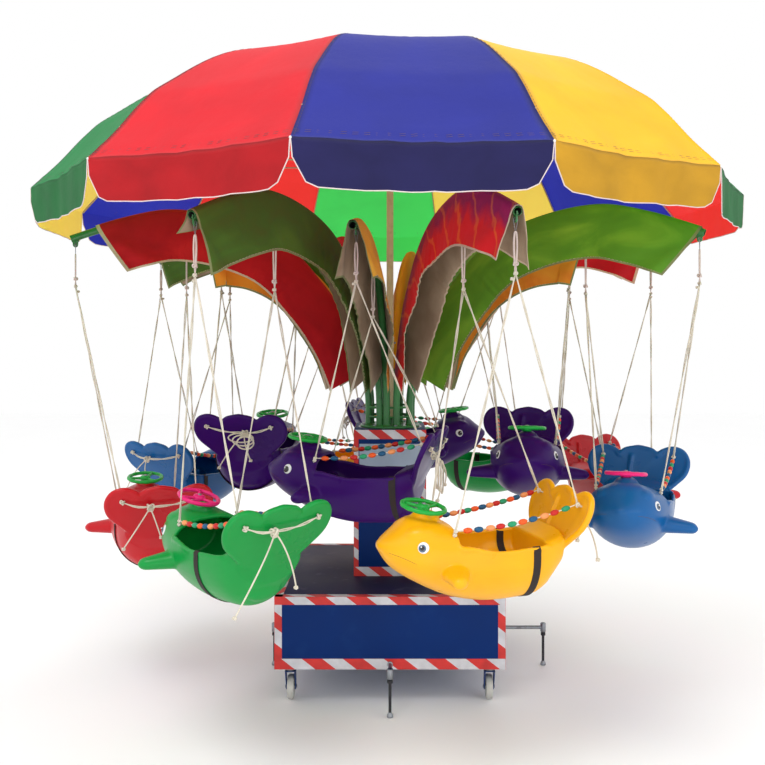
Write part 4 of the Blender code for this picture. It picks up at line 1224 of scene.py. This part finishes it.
def harness(ring, n, seat_tree):
    """All the ropes of a seat and its beads, in the row frame."""
    angles, pipe, hooks, knots, seats = RINGS[ring]
    beyond, bottom, yaw = seats[n]
    place = (Matrix.Translation((0, -(hooks[0] + hooks[1]) / 2 - beyond, bottom))
             @ spin(yaw) @ Matrix.Translation((HULL_SHIFT, 0, 0)))
    back_home = place.inverted()
    rope, beads = Shape(), Shape()
    fan = fan_place()
    back = (fan.to_3x3() @ Vector((0, 0, 1))).normalized()
    seed = n + (10 if ring == "inner" else 0)
    rears = []
    for side, radius, level in ((-1, hooks[0], knots[0]), (1, hooks[1], knots[1])):
        hook = Vector((0, -radius, height_at(pipe, radius) - HOOK_DROP + 0.010))
        tie = Vector((0, -radius, level))
        start = back_home @ tie
        entry, _ = surface_hit(seat_tree, start, (-0.206, side * 0.127, 0.214))
        head = place @ entry
        hole = fan @ Vector((side * TAIL_HOLE[0], TAIL_HOLE[1], 0))
        front = place @ (hole - back * 0.022)
        rear = place @ (hole + back * 0.020)
        # steel loop through the eye, then a doubled link that ends in a knot
        ring_foot = hook - Vector((0, 0, 0.046))
        loop = [hook + Vector((0.0085 * cos(pi * k / 8), 0, 0.0085 * sin(pi * k / 8)))
                for k in range(9)]
        rope.tube([ring_foot, *loop], 0.0016, 6, 2, closed=True)
        bends = ((tie, 0.003, 0.0), (hook.lerp(tie, 0.6), 0.0062, 0.0),
                 (ring_foot, 0.0038, -0.004), (ring_foot, 0.0, 0.0035))
        there = [spot + Vector((x, 0, z)) for spot, x, z in bends]
        home = [spot + Vector((-x, 0, z)) for spot, x, z in bends[2::-1]]
        rope.tube(smooth_path(there + home, 4), 0.0036, 8, 1)
        split = tie - Vector((0, 0, 0.034))
        knot(rope, tie, 0.0095, 1, radius=0.0030)
        strands(rope, [tie, split], 1, turns=10.0)
        knot(rope, split, 0.0072, 0, radius=0.0028)
        if side < 0:
            knot(rope, tie.lerp(head, 0.055), 0.0066, 0, radius=0.0026)
        strands(rope, [split, head + (head - split).normalized() * 0.008], 0,
                start=seed + side)
        strands(rope, [split, front], 0, start=seed * 1.7 + side)
        knot(rope, head + (tie - head).normalized() * 0.006, 0.0060, 0)
        # through the fan, with a knot behind it
        rope.tube([front, place @ hole, rear], 0.0040, 7, 0)
        knot(rope, rear, 0.0100, 0, back)
        knot(rope, front, 0.0080, 0, back)
        rears.append(rear)
        # bead line from the head rope to the tail rope
        one = head.lerp(tie, 0.020)
        two = front.lerp(tie, 0.004)
        sag, count, low = (0.020, 10, 0.10) if side < 0 else (0.012, 14, 0.08)

        def hanging(s):
            return one.lerp(two, s) - Vector((0, 0, 4 * sag * s * (1 - s)))
        rope.tube([hanging(k / 16) for k in range(17)], 0.0024, 6, 0)
        knot(rope, one, 0.0058, 0)
        knot(rope, two, 0.0058, 0)
        for k in range(count):
            s = low + (1.0 - 2 * low) * k / (count - 1)
            s += dice.uniform(-0.006, 0.006)
            ahead = (two - one + Vector((0, 0, -4 * sag * (1 - 2 * s)))).normalized()
            turn = ahead.to_track_quat("Z", "Y").to_matrix()
            beads.ball(hanging(s), (0.0108, 0.0108, 0.0180), (k + seed) % 5, turn, 12)
    # tie across the fan's back with a knot off its middle and loose ends
    out, inn = rears
    behind = place.to_3x3() @ back
    dip = Vector((0, 0, -0.020)) + behind * 0.012
    share = 0.36 if ring == "outer" else 0.06 if n == 0 else 0.60
    middle = out.lerp(inn, share) + dip
    strands(rope, smooth_path([out, out.lerp(middle, 0.5) + dip * 0.35, middle,
                               middle.lerp(inn, 0.5) + dip * 0.35, inn], 4), 0, turns=5.0)
    knot(rope, middle, 0.017, 0, radius=0.0040)
    knot(rope, middle + Vector((0, 0, -0.012)), 0.012, 0, radius=0.0038)
    sideways = (inn - out).normalized()
    lengths = (0.26, 0.20) if ring == "outer" and n == 7 else (0.16, 0.12)
    for k, length in enumerate(lengths):
        lean = sideways * (0.35 if k else -0.72)
        path = [middle]
        for m in range(1, 10):
            s = m / 9
            path.append(middle + behind * (0.045 * sin(s * 2.2)) + lean * length * s ** 1.3
                        + Vector((0, 0, -length * (0.25 * s + 0.70 * s * s))))
        path = smooth_path(path, 3)
        rope.tube(path, 0.0030, 7, 0)
        knot(rope, path[-1], 0.0065, 0)
    if ring == "inner":
        # a hank of spare rope tied up behind the inner seats: it hangs at the front seat,
        # and is a flat bow at the others
        for k in range(3):
            wide, tall, low = ((0.030, 0.066, 0.066) if n == 0 else
                               (0.062 - 0.010 * k, 0.022 + 0.004 * k, 0.018))
            rope.tube([middle + behind * (0.014 + 0.008 * k)
                       + sideways * (wide * side_share + 0.014 * (k - 1))
                       + Vector((0, 0, -low - tall * height_share - 0.008 * k))
                       for height_share, side_share in around(20)], 0.0036, 7, 0, closed=True)
    return place, rope, beads


SEAT_COLOURS = ("yellow", "blue", "red", "green")
PINK_WHEELS = ("blue", "green")
# the toy wheels sit loosely: roll and pitch in the ride's frame
WHEEL_TILTS = {("outer", 7): (10.0, 0.0), ("outer", 0): (2.0, 7.0)}


def build_seats():
    hull = build_hull_mesh()
    bm = bmesh.new()
    bm.from_mesh(hull)
    tree = BVHTree.FromBMesh(bm)
    bm.free()
    hull.materials.append(HULL_PAINT["yellow"])
    wheel = wheel_shape().mesh("wheel")
    for one in (WHEEL_GREEN, STEEL):
        wheel.materials.append(one)
    faces = {}
    for ring in RINGS:
        for n, angle in enumerate(RINGS[ring][0]):
            name = ring + "_" + str(n + 1)
            body = "swing_" + name
            colour = SEAT_COLOURS[n % 4] if ring == "outer" else "purple"
            place, rope, beads = harness(ring, n, tree)
            here = spin(angle) @ place
            fish = place_mesh(hull, "fish_" + name, [], body, ("seat_" + name,),
                              "plastic_" + colour)
            fish.matrix_world = here
            fish.material_slots[0].link = "OBJECT"
            fish.material_slots[0].material = HULL_PAINT[colour]
            turner = place_mesh(wheel, "fish_wheel_" + name, [], body, (), "plastic_green")
            roll, pitch = WHEEL_TILTS.get((ring, n), (0.0, 0.0))
            hub = Matrix.Translation(here @ WHEEL_CENTRE)
            turner.matrix_world = (hub @ Matrix.Rotation(radians(roll), 4, "Y")
                                   @ Matrix.Rotation(radians(pitch), 4, "X")
                                   @ hub.inverted() @ here)
            for k, paint in enumerate((WHEEL_PINK if colour in PINK_WHEELS else WHEEL_GREEN,
                                       STEEL)):
                turner.material_slots[k].link = "OBJECT"
                turner.material_slots[k].material = paint
            key = colour == "purple"
            if key not in faces:
                shape = Shape()
                for side in (-1, 1):
                    add_eye(shape, tree, side, key)
                add_face(shape, tree)
                faces[key] = shape.mesh("face")
                for one in (EYE_WHITE, EYE_IRIS, EYE_DARK, MOUTH_SHADE):
                    faces[key].materials.append(one)
            face = place_mesh(faces[key], "fish_face_" + name, [], body)
            face.matrix_world = here
            strap_at = 0.02 if (ring, n) == ("outer", 7) else 0.11 if ring == "outer" else 0.155
            strap = strap_shape(tree, strap_at)
            strap.place("fish_strap_" + name, [STRAP, STEEL_DARK], body, turn=here)
            rope.place("seat_ropes_" + name, [ROPE, LINK, STEEL], body, ("ropes_" + name,), "rope",
                       spin(angle), sharp=0)
            beads.place("seat_beads_" + name, BEADS, body, turn=spin(angle), sharp=0)


# Base

def tape_strip(shape, start, along, up, length, width, lift=0.0012):
    """A flat strip of tape: along and up are unit vectors on the face."""
    out = along.cross(up)
    shape.grid([[start + up * width * k + out * lift,
                 start + up * width * k + along * length + out * lift] for k in range(2)], 1,
               [[(0.0, width * k), (length, width * k)] for k in range(2)])
    rim = [start + along * x + up * y + out * 0.0001
           for x, y in ((0.0, 0.0), (length, 0.0), (length, width), (0.0, width))]
    shape.grid([rim, [p + out * (lift - 0.0001) for p in rim]], 1, closed=True)


def framed_faces(shape, half, low, high, top, bottom, side):
    """Tape borders round the four upright faces of a box."""
    wide, height = 2 * half, high - low
    for k in range(4):
        turn = Matrix.Rotation(pi / 2 * k, 3, "Z")
        along, up = turn @ Vector((1, 0, 0)), Vector((0, 0, 1))
        corner = turn @ Vector((-half, -half, 0)) + Vector((0, 0, low))
        tape_strip(shape, corner + up * (height - top), along, up, wide, top)
        tape_strip(shape, corner, along, up, wide, bottom)
        for shift in (0.0, wide - side):
            tape_strip(shape, corner + up * bottom + along * shift, along, up, side,
                       height - top - bottom)


BAND_LEVEL, PALE_LEVEL = 0.800, 1.045
# Widths of the tape at a box's top, bottom and upright edges
CABINET_TAPE, TOWER_TAPE = (0.036, 0.048, 0.033), (0.045, 0.045, 0.022)


def build_base():
    cabinet = Shape()
    height = CABINET_TOP - CABINET_BOTTOM
    cabinet.block((CABINET_WIDTH - 0.003, CABINET_WIDTH - 0.003, height - 0.0015),
                  (0, 0, CABINET_BOTTOM + height / 2 - 0.0006), 0.004, 0)
    half = CABINET_WIDTH / 2 - 0.0015
    framed_faces(cabinet, half, CABINET_BOTTOM + 0.001, CABINET_TOP - 0.001, *CABINET_TAPE)
    level = CABINET_TOP - 0.0012
    for k in range(4):
        turn = Matrix.Rotation(pi / 2 * k, 3, "Z")
        corner = turn @ Vector((-half, -half, 0)) + Vector((0, 0, level))
        tape_strip(cabinet, corner, turn @ Vector((1, 0, 0)), turn @ Vector((0, 1, 0)),
                   2 * half, CABINET_TAPE[0])
    # deck plate inside the tape
    cabinet.block((2 * half - 0.074, 2 * half - 0.074, 0.0012), (0, 0, level + 0.0002), 0.0005,
                  2)
    cabinet.place("cabinet_shell", [NAVY, TAPE, NAVY_TOP], "base", ("cabinet",),
                  "base_panel")
    tower = Shape()
    low, top = CABINET_TOP + 0.0003, PEDESTAL_TOP
    wide = PEDESTAL_WIDTH - 0.003
    tower.block((wide, wide, top - low - 0.0006), (0, 0, (top + low) / 2), 0.003, 0)
    half = wide / 2
    framed_faces(tower, half, low + 0.001, top - 0.001, *TOWER_TAPE)
    for k in range(4):
        turn = Matrix.Rotation(pi / 2 * k, 3, "Z")
        side = TOWER_TAPE[2]
        corner = turn @ Vector((-half + side, -half, 0)) + Vector((0, 0, BAND_LEVEL))
        tape_strip(tower, corner, turn @ Vector((1, 0, 0)), Vector((0, 0, 1)),
                   2 * (half - side), TOWER_TAPE[0])
        pale = turn.to_4x4() @ Matrix.Translation((0, -half, PALE_LEVEL))
        tower.block((2 * half - 0.052, 0.0016, 0.190), (0, 0, 0), 0.0006, 2, pale)
    tower.lathe(((0.160, 0.0), (0.160, 0.0003), (0.150, 0.0004)), 32, 3,
                Matrix.Translation((0, 0, top - 0.0006)))
    tower.place("pedestal_shell", [NAVY, TAPE_SMALL, PALE_PANEL, STEEL], "base", ("pedestal",),
                "base_panel")


OUTRIGGER_REACH = {"front": (0.640, 0.0), "right": (0.775, 90.0), "back": (0.640, 180.0),
                   "left": (0.585, -90.0)}


def build_outriggers():
    for name, (reach, angle) in OUTRIGGER_REACH.items():
        shape = Shape()
        start = CABINET_WIDTH / 2 + 0.0004
        level = 0.190
        shape.tube([(0, -start, level), (0, -reach, level)], 0.009, 16, 0)
        shape.lathe(((0.013, 0.0), (0.013, 0.006), (0.009, 0.008)), 20, 0,
                    Matrix.Translation((0, -start, level)) @ Matrix.Rotation(pi / 2, 4, "X"))
        sleeve = Matrix.Translation((0, -reach, 0))
        shape.lathe(((0.0125, level - 0.022), (0.014, level - 0.020), (0.014, level + 0.020),
                     (0.0125, level + 0.022), (0.006, level + 0.022)), 20, 0, sleeve)
        shape.lathe(((0.006, level - 0.040), (0.0125, level - 0.040), (0.0125, level - 0.026),
                     (0.006, level - 0.024)), 6, 1, sleeve)
        # threaded screw
        thread = [(0.0062 + 0.0007 * (k % 2), 0.018 + 0.002 * k) for k in range(104)]
        thread = [(r, z) for r, z in thread if z < level + 0.024]
        shape.lathe(thread, 14, 1, sleeve)
        shape.lathe(((0.0135, 0.0), (0.014, 0.004), (0.0125, 0.012), (0.0085, 0.019),
                     (0.006, 0.022)), 20, 0, sleeve)
        shape.place("outrigger_leg_" + name, [STEEL, STEEL_DARK], "base", ("outrigger_" + name,),
                    "steel", spin(angle))


WHEEL_OUT, AXLE_TRAIL, AXLE_HEIGHT = 0.455, 0.028, 0.055


def build_casters():
    for corner in ("front_left", "front_right", "back_right", "back_left"):
        here = Matrix.Translation((WHEEL_OUT * (-1 if "left" in corner else 1),
                                   WHEEL_OUT * (-1 if "front" in corner else 1), 0))
        centre = here @ Matrix.Translation((0, AXLE_TRAIL, AXLE_HEIGHT))
        fork = Shape()
        fork.block((0.078, 0.078, 0.004), (0, 0, 0.1622), 0.0015, 0, here)
        for dx in (-0.029, 0.029):
            for dy in (-0.029, 0.029):
                fork.lathe(((0.006, 0.0), (0.006, -0.005), (0.004, -0.006)), 6, 1,
                           here @ Matrix.Translation((dx, dy, 0.1602)))
        fork.lathe(((0.030, 0.1600), (0.032, 0.156), (0.030, 0.148), (0.024, 0.144)), 24, 1,
                   here)
        fork.block((0.049, 0.062, 0.004), (0, 0.006, 0.1400), 0.0018, 0, here)
        for side in (-1, 1):
            reach = side * 0.0213
            rows = []
            for share, z, half in ((0.0, 0.142, 0.028), (0.3, 0.118, 0.024), (0.7, 0.085, 0.018),
                                   (1.0, 0.058, 0.014), (1.0, 0.044, 0.010)):
                y0 = AXLE_TRAIL * share
                rows.append([here @ Vector((reach + dx, y0 + dy, z)) for dx, dy in
                             ((-0.002, -half), (0.002, -half), (0.002, half), (-0.002, half))])
            fork.grid(rows, 0, closed=True, caps=True)
            fork.lathe(((0.008, 0.0), (0.008, 0.005), (0.005, 0.006)), 6, 1,
                       centre @ Matrix.Translation((reach, 0, 0))
                       @ Matrix.Rotation(side * pi / 2, 4, "Y"))
        fork.place("caster_bracket_" + corner, [BRACKET_BLUE, STEEL],
                   "caster_" + corner, ("caster_fork_" + corner,), "steel")
        wheel = Shape()
        axle = centre @ Matrix.Rotation(pi / 2, 4, "Y")
        wheel.lathe(((0.012, -0.0150), (0.040, -0.0140), (0.045, -0.0155), (0.051, -0.0145),
                     (0.0545, -0.010), (0.0550, 0.0), (0.0545, 0.010), (0.051, 0.0145),
                     (0.045, 0.0155), (0.040, 0.0140), (0.012, 0.0150)), 40, 0, axle)
        wheel.lathe(((0.012, -0.0178), (0.014, -0.0150), (0.014, 0.0150), (0.012, 0.0178)), 20, 1,
                    axle)
        wheel.place("caster_roller_" + corner, [TYRE, STEEL], "wheel_" + corner,
                    ("caster_wheel_" + corner,), "caster_tyre")


for build in (build_canopy, build_umbrella_frame, build_arms, build_covers, build_seats,
              build_base, build_outriggers, build_casters):
    build()

# Floor, light and camera

floor_shape = Shape()
floor_shape.grid([[(x, y, -0.0005) for x in (-14, 14)] for y in (-14, 14)], 0)
floor = bpy.data.objects.new("floor", floor_shape.mesh("floor"))
bpy.context.scene.collection.objects.link(floor)
floor.data.materials.append(finish("floor_pale", lin(253, 253, 253), 0.99, 1.0, scale=1.0,
                                   rough=(0.8, 0.9)))

world = bpy.data.worlds.new("studio")
world.use_nodes = True
background = world.node_tree.nodes["Background"].inputs
background["Color"].default_value = (1.0, 1.0, 1.0, 1.0)
background["Strength"].default_value = 1.0
bpy.context.scene.world = world
bpy.context.scene.view_settings.view_transform = "Standard"


def area_light(name, place, target, size, power):
    light = bpy.data.lights.new(name, "AREA")
    light.shape = "DISK"
    light.size = size
    light.energy = power
    lamp = bpy.data.objects.new(name, light)
    lamp.location = place
    lamp.rotation_euler = (Vector(target) - Vector(place)).to_track_quat("-Z", "Y").to_euler()
    bpy.context.scene.collection.objects.link(lamp)


area_light("key", (-1.6, -3.9, 6.8), (0, 0, 1.6), 3.2, 156.0)
area_light("fill", (4.2, -4.4, 2.6), (0, 0, 1.3), 3.0, 26.0)
area_light("under", (0.6, -3.6, 0.5), (0, 0.9, 2.7), 2.6, 12.0)
area_light("rim", (1.5, 4.5, 4.8), (0, 0, 1.6), 3.0, 60.0)

# the camera fitted to the umbrella's rim, in pixels of the 765 px frame
FRAME, FOCAL, CENTRE = 765.0, 934.0, (390.0, 329.0)
camera = bpy.data.cameras.new("camera")
camera.sensor_width = 36.0
camera.lens = FOCAL / FRAME * 36.0
camera.shift_x = -(CENTRE[0] - FRAME / 2) / FRAME
camera.shift_y = (CENTRE[1] - FRAME / 2) / FRAME
holder = bpy.data.objects.new("camera", camera)
holder.location = (0.0, -4.73, 1.70)
holder.rotation_euler = (pi / 2, 0.0, 0.0)
bpy.context.scene.collection.objects.link(holder)
bpy.context.scene.camera = holder
